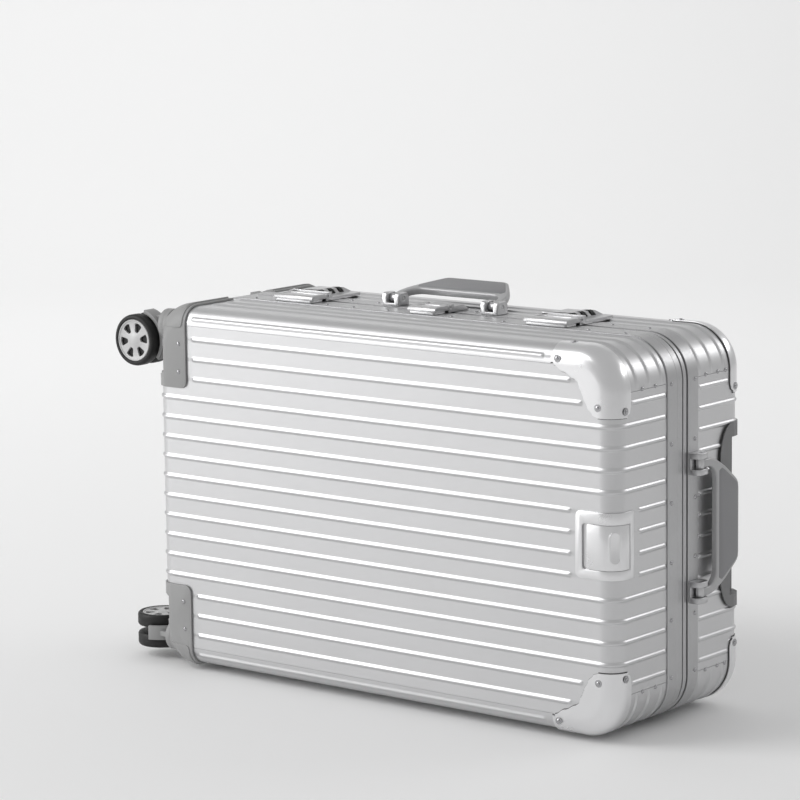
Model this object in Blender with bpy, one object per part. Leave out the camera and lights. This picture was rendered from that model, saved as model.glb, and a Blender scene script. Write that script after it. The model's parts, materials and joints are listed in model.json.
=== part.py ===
"""Hard shell suitcase on wheels, lying on its long hinged side. Lengths below are millimetres;
mesh_object turns them into metres. +X points from the wheels to the handle end, -Y out of the lid,
+Z up, and z = 0 is the floor under the side feet. Below, x = 0 is the middle of the shell; build
moves the whole object along X once, so that the origin is under the middle of its overall box."""

import math

import bmesh
import bpy
from mathutils import Matrix, Vector

MM = 0.001
GAP = 0.3

# Case body
X_END = 350.0
Y_FACE = 130.5
Z_LOW, Z_HIGH = 8.5, 461.0
ORIGIN_X = -28.0  # the frame's origin, under the middle of the overall box
Z_MID = (Z_LOW + Z_HIGH) / 2
EDGE_R = 22.0
CORNER_R = 51.0
EDGE_STEPS, CORNER_STEPS = 4, 6  # facets per quarter turn, the same on every piece that lies on another
SHEET = 1.6
SEAM = 51.25  # from the long side to the riveted seam on each end
RIB_PITCH = 25.0
RIB_TOP = Z_HIGH - 38.75
RIB_COUNT = 16
RIB_HEIGHT = 1.8
RIB_SECTION = ((-2.5, 0.0), (0.0, 1.0), (2.5, 0.0))

# Frame rails: depth along Y of the lid rail and of the rear rail
LID_RAIL = (-27.8, 1.7)
REAR_RAIL = (35.1, 2.0)
SHEET_EDGE = {-1: -11.7, 1: 19.0}
SIDE_RIBS = {-1: (-88.0, -63.0, -38.0), 1: (90.0, 65.0, 40.0)}

# Long hinge under the case
HINGE_Y, HINGE_Z = 1.85, 3.0
KNUCKLE_R, PIN_R = 2.6, 1.3
HINGE_X = (-270.0, 280.0)
KNUCKLES = 7

# Fittings on the top side are centred here along X
TOP_X = -12.0
LATCH_X = (-212.0, 176.0)
LATCH_W = 62.0

# Casters
SWIVEL_Y, SWIVEL_Z = 102.0, Z_HIGH - 27.0
RECESS_X = -341.0
WHEEL_X, WHEEL_R, TRAIL = -393.0, 32.5, 22.0

# Handles
PIVOT_LIFT, PIVOT_Y, PIVOT_SPAN = 11.0, 24.5, 76.0
CARRY_ANGLE, END_ANGLE = 13.0, 3.0

# Trolley
TUBE_Y, TUBE_Z = 112.0, 65.0


# ---------------------------------------------------------------- helpers


def mesh_object(name, points, faces, hidden=False):
    mesh = bpy.data.meshes.new(name)
    mesh.from_pydata([tuple(MM * c for c in p) for p in points], [], faces)
    shape = bmesh.new()
    shape.from_mesh(mesh)
    bmesh.ops.recalc_face_normals(shape, faces=shape.faces)
    shape.to_mesh(mesh)
    shape.free()
    obj = bpy.data.objects.new(name, mesh)
    bpy.context.scene.collection.objects.link(obj)
    if hidden:
        obj.hide_render = True
        obj.display_type = "WIRE"
    return obj


def loft(name, rings, closed=False, hidden=False):
    """A closed skin through rings of equal length; the two ends are capped unless it closes on itself."""
    n, count = len(rings[0]), len(rings)
    points = [p for ring in rings for p in ring]
    faces = []
    for i in range(count if closed else count - 1):
        j = (i + 1) % count
        for k in range(n):
            m = (k + 1) % n
            faces.append((i * n + k, i * n + m, j * n + m, j * n + k))
    if not closed:
        faces.append(tuple(range(n)))
        faces.append(tuple(range((count - 1) * n, count * n)))
    return mesh_object(name, points, faces, hidden)


def box(name, x, y, z, hidden=False):
    corners = [(a, b, c) for a in x for b in y for c in z]
    faces = [(0, 1, 3, 2), (4, 6, 7, 5), (0, 4, 5, 1), (2, 3, 7, 6), (0, 2, 6, 4), (1, 5, 7, 3)]
    return mesh_object(name, corners, faces, hidden)


def prism(name, outline, axis, low, high, hidden=False):
    """An outline of (a, b) pairs pushed along one axis; a, b are the other two axes in X, Y, Z order."""
    def at(pair, c):
        whole = list(pair)
        whole.insert(axis, c)
        return tuple(whole)
    return loft(name, [[at(p, low) for p in outline], [at(p, high) for p in outline]], hidden=hidden)


def disc(centre, r, count, start=0.0):
    step = 2 * math.pi / count
    return [(centre[0] + r * math.cos(start + i * step), centre[1] + r * math.sin(start + i * step))
            for i in range(count)]


def cylinder(name, axis, centre, r, low, high, count=24, hidden=False):
    return prism(name, disc(centre, r, count), axis, low, high, hidden)


def turned(name, axis, centre, profile, count=32, hidden=False):
    """Rings of (radius, position along the axis), capped at both ends."""
    rings = []
    for r, c in profile:
        ring = []
        for pair in disc(centre, r, count):
            whole = list(pair)
            whole.insert(axis, c)
            ring.append(tuple(whole))
        rings.append(ring)
    return loft(name, rings, hidden=hidden)


def combine(obj, operation, *others):
    for other in others:
        mod = obj.modifiers.new(operation.title(), "BOOLEAN")
        mod.operation = operation
        mod.solver = "EXACT"
        mod.object = other
        bpy.context.view_layer.objects.active = obj
        bpy.ops.object.modifier_apply(modifier=mod.name)
        bpy.data.objects.remove(other)
    return obj


def join(obj, *others):
    return combine(obj, "UNION", *others)


def cut(obj, *others):
    return combine(obj, "DIFFERENCE", *others)


def keep(obj, *others):
    return combine(obj, "INTERSECT", *others)


def bevel(obj, width, segments=1, angle=40.0):
    mod = obj.modifiers.new("Bevel", "BEVEL")
    mod.width = width * MM
    mod.segments = segments
    mod.limit_method = "ANGLE"
    mod.angle_limit = math.radians(angle)
    bpy.context.view_layer.objects.active = obj
    bpy.ops.object.modifier_apply(modifier=mod.name)
    return obj


def mirrored(obj, y=False, z=False):
    """Reflects the mesh in the plane y = 0 and in the plane through the middle of the case's height."""
    for vertex in obj.data.vertices:
        if y:
            vertex.co.y = -vertex.co.y
        if z:
            vertex.co.z = 2 * Z_MID * MM - vertex.co.z
    if y != z:
        obj.data.flip_normals()
    return obj


def set_origin(obj, x, y, z):
    """Moves the object's origin to a point on its joint axis and leaves the shape where it is."""
    point = Vector((x, y, z)) * MM
    obj.data.transform(Matrix.Translation(-point))
    obj.location = point
    return obj


def finish(obj, colour, metallic, roughness, smooth_angle=None):
    material = bpy.data.materials.new(obj.name)
    material.use_nodes = True
    shader = material.node_tree.nodes["Principled BSDF"]
    shader.inputs["Base Color"].default_value = (*colour, 1.0)
    shader.inputs["Metallic"].default_value = metallic
    shader.inputs["Roughness"].default_value = roughness
    obj.data.materials.clear()
    obj.data.materials.append(material)
    if smooth_angle is not None:
        bpy.context.view_layer.objects.active = obj
        obj.select_set(True)
        bpy.ops.object.shade_smooth_by_angle(angle=math.radians(smooth_angle))
        obj.select_set(False)
    return obj


def aluminium(obj):
    return finish(obj, (0.78, 0.78, 0.79), 1.0, 0.32, 35)


def rail_metal(obj):
    return finish(obj, (0.62, 0.62, 0.63), 1.0, 0.4, 35)


def fitting(obj):
    return finish(obj, (0.55, 0.55, 0.56), 1.0, 0.35, 35)


def grey_plastic(obj):
    return finish(obj, (0.28, 0.28, 0.29), 0.0, 0.5, 35)


def dark_plastic(obj):
    return finish(obj, (0.03, 0.03, 0.032), 0.0, 0.5, 35)


# ---------------------------------------------------------------- outlines


def corner_path(radius, inset, steps=CORNER_STEPS, start=0.0):
    """The case's outline seen along Y, as (x, z, nx, nz), anticlockwise from the +X side."""
    path = []
    for quadrant in range(4):
        cx = (X_END - CORNER_R) * (1 if quadrant in (0, 3) else -1)
        cz = Z_MID + (Z_HIGH - Z_MID - CORNER_R) * (1 if quadrant in (0, 1) else -1)
        for i in range(steps + 1):
            angle = math.radians(start + 90 * quadrant + 90 * i / steps)
            nx, nz = math.cos(angle), math.sin(angle)
            path.append((cx + (radius - inset) * nx, cz + (radius - inset) * nz, nx, nz))
    return path


def outline(inset, steps=CORNER_STEPS):
    return [(x, z) for x, z, _, _ in corner_path(CORNER_R, inset, steps)]


def case_solid(name, side, offset, depth=0.0, steps=CORNER_STEPS):
    """The whole half case grown by offset: outline rings that shrink over the rounded edge."""
    rings = []
    for i in range(EDGE_STEPS + 1):
        angle = math.radians(90 * i / EDGE_STEPS)
        inset = EDGE_R - (EDGE_R + offset) * math.sin(angle)
        y = side * (Y_FACE - EDGE_R + (EDGE_R + offset) * math.cos(angle))
        rings.append([(x, y, z) for x, z in outline(inset, steps)])
    rings.append([(x, side * depth, z) for x, z in outline(-offset, steps)])
    return loft(name, rings, hidden=True)


# ---------------------------------------------------------------- shells


def rib_z(k):
    return RIB_TOP - RIB_PITCH * k


def panel_stations(side):
    """The main panel's path seen from above, as ((x, y), (nx, ny), ribs that stand there)."""
    every = set(range(RIB_COUNT))
    wrap = every - {0, 15}
    guard = {1, 14}
    plate = {6, 7, 8, 9} if side < 0 else set()
    face, edge = side * Y_FACE, side * (Y_FACE - EDGE_R)
    rail = side * (30.0 if side < 0 else 37.5)
    stations = [((X_END, SHEET_EDGE[side]), (1, 0), set()), ((X_END, rail), (1, 0), set()),
                ((X_END, rail + side * 2), (1, 0), wrap), ((X_END, side * 84.0), (1, 0), wrap),
                ((X_END, side * 86.0), (1, 0), wrap - plate - guard)]
    for i in range(EDGE_STEPS + 1):
        angle = math.radians(90 * i / EDGE_STEPS)
        n = (math.cos(angle), side * math.sin(angle))
        stations.append(((X_END - EDGE_R + EDGE_R * n[0], edge + EDGE_R * n[1]), n, wrap - plate - guard))
    n = (0, side)
    stations += [((303.0, face), n, wrap - plate - guard), ((300.5, face), n, wrap - plate),
                 ((287.0, face), n, wrap - plate), ((284.5, face), n, every),
                 ((-284.5, face), n, every), ((-287.0, face), n, every - {0, 1, 2, 13, 14, 15})]
    wheel_end = every - {0, 1, 2, 13, 14, 15}
    for i in range(EDGE_STEPS + 1):
        angle = math.radians(90 - 90 * i / EDGE_STEPS)
        n = (-math.cos(angle), side * math.sin(angle))
        stations.append(((-X_END + EDGE_R + EDGE_R * n[0], edge + EDGE_R * n[1]), n, wheel_end))
    stations += [((-X_END, rail + side * 2), (-1, 0), wheel_end), ((-X_END, rail), (-1, 0), set()),
                 ((-X_END, SHEET_EDGE[side]), (-1, 0), set())]
    return stations


def panel_outline():
    """The panel seen along Y: full width between the seams, and inside the rounded edge above and below."""
    inner = CORNER_R - EDGE_R - GAP / 2
    seam = SEAM + GAP / 2
    top, cx, cz = Z_HIGH - seam, X_END - CORNER_R, Z_HIGH - CORNER_R
    first = math.asin((top - cz) / inner)
    arc = [first + (math.pi / 2 - first) * i / 8 for i in range(9)]
    corner = [(cx + inner * math.cos(a), cz + inner * math.sin(a)) for a in arc]
    upper = [(X_END + 10, top)] + corner + [(-x, z) for x, z in reversed(corner)] + [(-X_END - 10, top)]
    return upper + [(x, 2 * Z_MID - z) for x, z in reversed(upper)]


def shell_panel(name, side):
    """Ribbed sheet bent round the face and both ends of one half of the case."""
    rings = []
    for (x, y), (nx, ny), ribs in panel_stations(side):
        ring = [(x, y, Z_LOW + 17.0)]
        for k in reversed(range(RIB_COUNT)):
            height = RIB_HEIGHT if k in ribs else 0.0
            ring += [(x + nx * h * height, y + ny * h * height, rib_z(k) + dz) for dz, h in RIB_SECTION]
        ring.append((x, y, Z_HIGH - 17.0))
        ring.append((x - nx * SHEET, y - ny * SHEET, Z_HIGH - 17.0))
        ring.append((x - nx * SHEET, y - ny * SHEET, Z_LOW + 17.0))
        rings.append(ring)
    panel = loft(name, rings)
    keep(panel, prism("panel_outline", panel_outline(), 1, -140.0, 140.0, hidden=True))
    for upper in (False, True):
        recess = box("recess", (-400.0, RECESS_X + 3.8), (62.0, 140.0), (376.0, 480.0), hidden=True)
        cut(panel, mirrored(recess, y=side < 0, z=not upper))
    return panel


def on_facet(angle, radius):
    """The point at this angle, in degrees, on the chords that stand for the rounded edge."""
    step = 90.0 / EDGE_STEPS
    low = min(int(angle / step), EDGE_STEPS - 1) * step
    share = (angle - low) / step
    a, b = math.radians(low), math.radians(low + step)
    return (radius * (math.cos(a) * (1 - share) + math.cos(b) * share),
            radius * (math.sin(a) * (1 - share) + math.sin(b) * share))


def strip_profile(side, edge_rib, side_ribs):
    """(depth below the long side, y) round the rounded edge and back along the sheet's inner face."""
    face = Y_FACE - EDGE_R
    points = [(0.0, abs(SHEET_EDGE[side]))]
    for y in sorted(abs(v) for v in SIDE_RIBS[side]):
        height = RIB_HEIGHT * side_ribs
        points += [(h * height, y + dy) for dy, h in RIB_SECTION]
    for angle, h in ((0, 0), (22.5, 0), (45, 0), (60, 0), (67.5, 1), (75, 0), (89.6, 0)):
        c, s = on_facet(angle, EDGE_R + h * RIB_HEIGHT * edge_rib)
        points.append((c - EDGE_R, face + s))
    for angle in (89.6, 45, 0):
        c, s = on_facet(angle, EDGE_R - SHEET)
        points.append((c - EDGE_R, face + s))
    points.append((-SHEET, abs(SHEET_EDGE[side])))
    return points


def shell_strip(name, side, upper):
    """Sheet that closes one long side, wraps both corners and is riveted to the panel's ends."""
    angles = [90.0 * i / CORNER_STEPS for i in range(CORNER_STEPS + 1)]
    stations = []
    for i, angle in enumerate(map(math.radians, angles)):
        n = (math.cos(angle), math.sin(angle))
        stations.append((X_END - CORNER_R + CORNER_R * n[0], n, 0, 1 if i else 0))
    stations += [(250.0, (0, 1), 0, 1), (247.5, (0, 1), 1, 1), (-284.5, (0, 1), 1, 1), (-287.0, (0, 1), 0, 0)]
    for angle in map(math.radians, reversed(angles)):
        n = (-math.cos(angle), math.sin(angle))
        stations.append((-X_END + CORNER_R + CORNER_R * n[0], n, 0, 0))
    rings = []
    for x, (nx, nz), edge_rib, side_ribs in stations:
        z = Z_HIGH - CORNER_R + CORNER_R * nz
        rings.append([(x + nx * d, y, z + nz * d) for d, y in strip_profile(side, edge_rib, side_ribs)])
    strip = loft(name, rings)
    recess = box("recess", (-400.0, RECESS_X + 3.8), (62.0, 140.0), (376.0, 480.0), hidden=True)
    cut(strip, recess)
    return mirrored(strip, y=side < 0, z=not upper)


def rail(name, section):
    """Extruded frame bent into a ring; the section is (distance outside the sheet, y)."""
    path = corner_path(CORNER_R, 0.0)
    return loft(name, [[(x + nx * d, y, z + nz * d) for d, y in section] for x, z, nx, nz in path], closed=True)


def lid_rail():
    front, back = LID_RAIL
    step = SHEET_EDGE[-1] + GAP
    return rail("lid_rail", [(1.8, front), (1.8, back), (-6.0, back), (-6.0, step), (0.3, step), (0.3, front)])


def rear_rail():
    """The ridge between the two grooves holds the seal that the lid rail closes on."""
    back, front = REAR_RAIL
    step = SHEET_EDGE[1] - GAP
    return rail("rear_rail", [(1.8, back), (1.8, 13.9), (-1.6, 13.9), (-1.6, 11.4), (0.8, 11.4), (0.8, 5.2),
                              (-1.6, 5.2), (-1.6, front), (-6.0, front), (-6.0, step), (0.3, step), (0.3, back)])


def lining(name, side, mouth, floor):
    """Open tray with a rounded floor that lines one half of the case."""
    inset, wall = 13.5, 1.5
    outer = [(inset, mouth), (inset, floor - 22), (inset + 5, floor - 8), (inset + 18, floor)]
    inner = [(inset + wall, mouth), (inset + wall, floor - 22), (inset + wall + 4, floor - 9),
             (inset + wall + 17, floor - wall)]
    rings = [[(x, side * y, z) for x, z in outline(d)] for d, y in list(reversed(outer)) + inner]
    return loft(name, rings)


def corner_guard(name, side, upper):
    """Pressed aluminium cap riveted over a corner; its tongue on the face runs to an S-shaped edge."""
    inner, outer, end = GAP, GAP + 1.2, 28.0
    stations = []
    for x, reach in ((262.0, 24.5), (266.0, 27.0), (274.0, 29.5), (283.0, 32.0), (X_END - CORNER_R, 37.0)):
        stations.append((x, Z_HIGH, (0.0, 1.0), reach))
    for angle, reach in ((75, 43.0), (60, 46.0), (45, 46.0), (30, 46.0), (15, 45.5), (0, 45.0)):
        a = math.radians(angle)
        n = (math.cos(a), math.sin(a))
        stations.append((X_END - CORNER_R + CORNER_R * n[0], Z_HIGH - CORNER_R + CORNER_R * n[1], n, reach))
    for z, reach in ((404.0, 42.5), (398.0, 39.0), (391.0, 34.5), (386.0, 30.5), (382.5, 24.0)):
        stations.append((X_END, z, (1.0, 0.0), reach))
    rings = []
    for i, (x, z, (nx, nz), reach) in enumerate(stations):
        back = Y_FACE - end + (6.0 if i in (0, len(stations) - 1) else 2.0 if i in (1, len(stations) - 2) else 0.0)
        ring = []
        for lift, angles in ((outer, (0, 22.5, 45, 67.5, 90)), (inner, (90, 67.5, 45, 22.5, 0))):
            arc = [((EDGE_R + lift) * math.cos(math.radians(a)) - EDGE_R,
                    Y_FACE - EDGE_R + (EDGE_R + lift) * math.sin(math.radians(a))) for a in angles]
            tip, root = (-reach, Y_FACE + lift), (lift, back)
            ring += [root] + arc + [tip] if lift == outer else [tip] + arc + [root]
        rings.append([(x + nx * d, y, z + nz * d) for d, y in ring])
    return mirrored(loft(name, rings), y=side < 0, z=not upper)


def side_foot(name, x, y):
    foot = turned(name, 2, (x, y), [(7.4, 0.0), (8.6, 1.4), (8.6, Z_LOW - GAP)], 16)
    return finish(foot, (0.03, 0.03, 0.03), 0.0, 0.7, 35)


# ---------------------------------------------------------------- luggage hook


def hook_plate():
    """Frame wrapped round the lid's upright edge, with a pocket that the hook folds into."""
    plate = cut(keep(box("hook_plate", (295.5, 356.0), (-136.0, -97.9), (196.0, 274.0)),
                     case_solid("outer", -1, 2.6)), case_solid("inner", -1, GAP))
    bevel(plate, 0.8)
    return cut(plate, box("pocket", (305.0, 360.0), (-140.0, -104.5), (207.0, 260.0), hidden=True))


def hook_flap():
    """Hinged on the end face; its free edge on the lid's face leaves a slot for a finger."""
    flap = cut(keep(box("hook_flap", (311.5, 356.0), (-136.0, -105.9), (207.4, 259.6)),
                    case_solid("outer", -1, 2.4)), case_solid("inner", -1, 0.6))
    bead = turned("bead", 0, (-117.0, 234.0), [(7.0, 348.0), (8.0, 351.6), (6.0, 353.4)], 24)
    keep(bead, box("bead_side", (351.0, 360.0), (-124.0, -106.0), (210.0, 257.0), hidden=True))
    join(flap, bead)
    return set_origin(flap, 351.5, -105.9, 233.5)


# ---------------------------------------------------------------- hinge under the case


def knuckle_spans(rear):
    pitch = (HINGE_X[1] - HINGE_X[0]) / KNUCKLES
    return [(HINGE_X[0] + i * pitch + 0.2, HINGE_X[0] + (i + 1) * pitch - 0.2)
            for i in range(KNUCKLES) if (i % 2 == 0) == rear]


def hinge_leaf(name, rear):
    """A strip under one rail with rolled knuckles that alternate with the other leaf's."""
    out = 1 if rear else -1
    low, high = Z_LOW - 3.3, Z_LOW - 2.1
    leaf = box(name, HINGE_X, sorted((HINGE_Y + out * 3.2, HINGE_Y + out * 24.0)), (low, high))
    for x0, x1 in knuckle_spans(rear):
        join(leaf, box("tab", (x0, x1), sorted((HINGE_Y, HINGE_Y + out * 5.0)), (low - 0.6, high)),
             cylinder("knuckle", 0, (HINGE_Y, HINGE_Z), KNUCKLE_R, x0, x1, 12))
    return cut(leaf, cylinder("bore", 0, (HINGE_Y, HINGE_Z), PIN_R + 0.1, -300.0, 300.0, 12, hidden=True))


# ---------------------------------------------------------------- casters


def caster_bracket(name, side, upper):
    """Plastic housing let into a corner: a skin over the face, edge and long side, and the wall of the
    recess that carries the swivel."""
    skin = keep(box(name, (RECESS_X, -297.0), (40.0, 140.0), (360.0, 470.0)), case_solid("outer", 1, 2.5))
    cut(skin, box("inboard", (-400.0, -200.0), (0.0, 100.0), (300.0, 436.0), hidden=True),
        case_solid("inner", 1, GAP))
    foot = keep(box("foot", (-356.0, -325.0), (112.0, 140.0), (360.4, 375.8)), case_solid("outer", 1, 2.3))
    cut(foot, case_solid("inner", 1, GAP + 0.1))
    cap = keep(box("cap", (RECESS_X + 0.6, -303.0), (43.0, 120.0), (430.0, 470.0)), case_solid("outer", 1, 5.2))
    cut(cap, case_solid("inner", 1, 1.2))
    wall = keep(box("wall", (RECESS_X + 0.3, RECESS_X + 3.0), (62.5, 140.0), (376.5, 470.0)),
                case_solid("outer", 1, 1.5))
    boss = cylinder("boss", 0, (SWIVEL_Y, SWIVEL_Z), 19.5, RECESS_X - 4.0, RECESS_X + 1.6, 20)
    join(skin, foot, cap, wall, boss)
    cut(skin, cylinder("bore", 0, (SWIVEL_Y, SWIVEL_Z), 4.15, -400.0, -300.0, 16, hidden=True))
    return grey_plastic(mirrored(skin, y=side < 0, z=not upper))


def caster_fork(name, swivel, turn):
    """Hub plate with its stem, and the web and hood between and over the two wheels."""
    y, z = swivel
    hub_x, axle_z = RECESS_X - 4.4, z - TRAIL
    fork = cylinder(name, 0, (y, z), 19.5, hub_x - 5.0, hub_x, 20)
    web = prism("web", [(hub_x - 2, z + 14), (hub_x - 2, z - 30), (WHEEL_X + 6, axle_z - 12), (WHEEL_X - 8, axle_z - 6),
                        (WHEEL_X - 8, axle_z + 8), (WHEEL_X + 14, axle_z + 29)], 1, y - 3.0, y + 3.0)
    arc = [math.radians(a) for a in (-38, -9, 20, 49, 78)]
    outer = [(WHEEL_X + 37.5 * math.cos(a), axle_z + 37.5 * math.sin(a)) for a in arc]
    inner = [(WHEEL_X + 34.5 * math.cos(a), axle_z + 34.5 * math.sin(a)) for a in reversed(arc)]
    hood = prism("hood", outer + inner, 1, y - 17.0, y + 17.0)
    stem = cylinder("stem", 0, (y, z), 4.0, hub_x - 1.0, RECESS_X + 8.0, 16)
    join(fork, web, hood, stem)
    cut(fork, cylinder("axle_bore", 1, (WHEEL_X, axle_z), 3.7, y - 30.0, y + 30.0, 16, hidden=True))
    return grey_plastic(turn_about(fork, swivel, turn))


def caster_wheels(name, swivel, turn):
    """Two tyred wheels on one axle that turns in the fork's web."""
    y, z = swivel
    axle_z = z - TRAIL
    centre = (WHEEL_X, axle_z)
    wheels = cylinder(name, 1, centre, 3.5, y - 10.0, y + 10.0, 16)
    for out in (-1, 1):
        profile = [(WHEEL_R - 4.5, y + out * 21.5), (WHEEL_R - 0.8, y + out * 20.2), (WHEEL_R, y + out * 18.0),
                   (WHEEL_R, y + out * 5.5), (WHEEL_R - 1.5, y + out * 4.0)]
        join(wheels, turned("wheel", 1, centre, profile, 28))
    wheels = turn_about(wheels, swivel, turn)
    angle = math.radians(turn)
    set_origin(wheels, WHEEL_X, y + TRAIL * math.sin(angle), z - TRAIL * math.cos(angle))
    return finish(wheels, (0.02, 0.02, 0.02), 0.0, 0.6, 35)


def turn_about(obj, swivel, turn):
    """Turns a caster piece round its swivel axis, which runs along X."""
    point = Vector((0.0, swivel[0], swivel[1])) * MM
    turned_by = Matrix.Translation(point) @ Matrix.Rotation(math.radians(turn), 4, "X")
    obj.data.transform(turned_by @ Matrix.Translation(-point))
    return obj


def caster(tag, side, upper):
    swivel = (side * SWIVEL_Y, SWIVEL_Z if upper else 2 * Z_MID - SWIVEL_Z)
    turn = 0.0 if upper else -90.0 * side
    caster_bracket(f"caster_bracket_{tag}", side, upper)
    fork = caster_fork(f"caster_fork_{tag}", swivel, turn)
    set_origin(fork, RECESS_X, *swivel)
    caster_wheels(f"caster_wheels_{tag}", swivel, turn)


# ---------------------------------------------------------------- handles


def handle_shape(name, lift):
    """Flat grip on two lugs, in the plane y = PIVOT_Y + r cos(lift); x is along the pivot axis."""
    lug, inner, outer = PIVOT_SPAN, 28.0, 71.0
    half = [(lug + 5.2, 1.0), (lug + 5.2, 15.0), (lug + 1.5, 28.0), (lug - 9.0, 45.0), (lug - 23.0, 63.0),
            (lug - 32.0, outer)]
    inside = [(lug - 5.2, 1.0), (lug - 5.2, 14.0), (lug - 8.0, inner - 7.0), (lug - 15.0, inner)]
    loop = half + [(-x, r) for x, r in reversed(half)] + [(-x, r) for x, r in inside]
    loop += [(x, r) for x, r in reversed(inside)]
    grip = prism(name, loop, 2, -4.6, 4.6)
    bevel(grip, 2.0)
    for x in (-lug, lug):
        pin = turned("pin", 0, (0.0, 0.0), [(2.4, x - 12.5), (2.4, x - 5.6), (5.0, x - 5.6), (5.0, x + 5.6),
                                            (2.4, x + 5.6), (2.4, x + 12.5)], 16)
        join(grip, pin)
    grip.data.transform(Matrix.Rotation(math.radians(lift), 4, "X"))
    return grip


def handle_block(name, x):
    """Clevis with two cheeks, in the same plane as handle_shape."""
    block = box(name, (x - 13.0, x + 13.0), (-11.0, 10.5), (-PIVOT_LIFT + 2.1, 7.0))
    bevel(block, 1.5)
    cut(block, box("slot", (x - 6.0, x + 6.0), (-20.0, 20.0), (-5.5, 12.0), hidden=True),
        cylinder("bore", 0, (0.0, 0.0), 2.5, x - 20.0, x + 20.0, 16, hidden=True))
    return block


def place_on_top(obj):
    obj.data.transform(Matrix.Translation(Vector((TOP_X, PIVOT_Y, Z_HIGH + PIVOT_LIFT)) * MM))
    return obj


def place_on_end(obj):
    turn = Matrix.Rotation(math.radians(90), 4, "Y")
    obj.data.transform(Matrix.Translation(Vector((X_END + PIVOT_LIFT, PIVOT_Y, Z_MID)) * MM) @ turn)
    return obj


def handles():
    for tag, place, lift in (("carry", place_on_top, CARRY_ANGLE), ("end", place_on_end, END_ANGLE)):
        grip = place(handle_shape(f"{tag}_handle", lift))
        for i, x in enumerate((-PIVOT_SPAN, PIVOT_SPAN)):
            fitting(place(handle_block(f"{tag}_handle_block_{'ab'[i]}", x)))
        if tag == "carry":
            set_origin(grip, TOP_X, PIVOT_Y, Z_HIGH + PIVOT_LIFT)
        else:
            set_origin(grip, X_END + PIVOT_LIFT, PIVOT_Y, Z_MID)
        finish(grip, (0.3, 0.3, 0.31), 0.0, 0.55, 35)


# ---------------------------------------------------------------- latches

BASE_Z = Z_HIGH + 2.1
LEVER_PIN = (6.2, Z_HIGH + 8.0)


def latch_body(name, centre, width, back, top, dial_x=None):
    """Block on the rear half with two ears, rounded to let the lever swing, that hold its pin."""
    x0, x1 = centre - width / 2, centre + width / 2
    body = box(name, (x0, x1), (LEVER_PIN[0] + 4.0, back), (BASE_Z, top))
    bevel(body, 1.0)
    for a, b in ((x0, x0 + 5.0), (x1 - 5.0, x1)):
        join(body, box("ear", (a, b), (LEVER_PIN[0] - 3.0, LEVER_PIN[0] + 7.0), (BASE_Z, LEVER_PIN[1])),
             box("ear_root", (a, b), (LEVER_PIN[0], LEVER_PIN[0] + 7.0), (BASE_Z, Z_HIGH + 8.9)),
             cylinder("ear_round", 0, LEVER_PIN, 4.0, a, b, 24))
    cut(body, cylinder("bore", 0, LEVER_PIN, 1.3, x0 - 5, x1 + 5, 16, hidden=True))
    if dial_x is not None:
        for y in dial_rows():
            cut(body, box("window", (dial_x - 5.6, dial_x + 5.6), (y - 3.1, y + 3.1), (BASE_Z + 0.9, 490.0),
                          hidden=True))
        cut(body, cylinder("spindle_bore", 1, (dial_x, dial_z()), 1.5, 12.2, dial_rows()[-1] + 8.0, 12,
                           hidden=True))
    return fitting(body)


def dial_rows():
    return [18.5, 35.0, 51.5]


def dial_z():
    return Z_HIGH + 8.3


def dial(name, x, y):
    """Number wheel on its own stub of the spindle."""
    wheel = cylinder(name, 1, (x, dial_z()), 5.0, y - 2.7, y + 2.7, 20)
    join(wheel, cylinder("stub", 1, (x, dial_z()), 1.4, y - 6.0, y + 6.0, 12))
    set_origin(wheel, x, y, dial_z())
    return finish(wheel, (0.02, 0.02, 0.02), 0.0, 0.4, 35)


def latch_lever(name, centre, width, front):
    """Over-centre lever lying across both rails above the lid's strike."""
    x0, x1 = centre - width / 2, centre + width / 2
    lever = box(name, (x0, x1), (front, LEVER_PIN[0] - 4.4), (Z_HIGH + 5.4, Z_HIGH + 11.0))
    bevel(lever, 1.2)
    join(lever, box("neck", (x0 + 5.4, x1 - 5.4), (LEVER_PIN[0] - 9.0, LEVER_PIN[0] + 1.0),
                    (Z_HIGH + 5.9, Z_HIGH + 10.5)),
         cylinder("eye", 0, LEVER_PIN, 2.8, x0 + 5.4, x1 - 5.4, 16),
         cylinder("pin", 0, LEVER_PIN, 1.2, x0 + 1.0, x1 - 1.0, 16))
    set_origin(lever, centre, *LEVER_PIN)
    return fitting(lever)


def latches():
    for tag, centre, width, back, top in (("left", LATCH_X[0], LATCH_W, 70.0, Z_HIGH + 12.5),
                                          ("right", LATCH_X[1], LATCH_W, 70.0, Z_HIGH + 12.5),
                                          ("centre", TOP_X + 3.0, 42.0, 42.0, Z_HIGH + 9.0)):
        dial_x = None if tag == "centre" else centre + 9.0
        latch_body(f"latch_body_{tag}", centre, width, back, top, dial_x)
        latch_lever(f"latch_lever_{tag}", centre, width, -25.5)
        strike = box(f"latch_strike_{tag}", (centre - width / 2 + 1, centre + width / 2 - 1), (-25.0, -2.0),
                     (BASE_Z, Z_HIGH + 5.1))
        fitting(bevel(strike, 0.8))
        if dial_x is not None:
            for i, y in enumerate(dial_rows()):
                dial(f"latch_dial_{tag}_{i + 1}", dial_x, y)


# ---------------------------------------------------------------- trolley

POCKET_Z = (125.0, 347.5)


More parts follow.
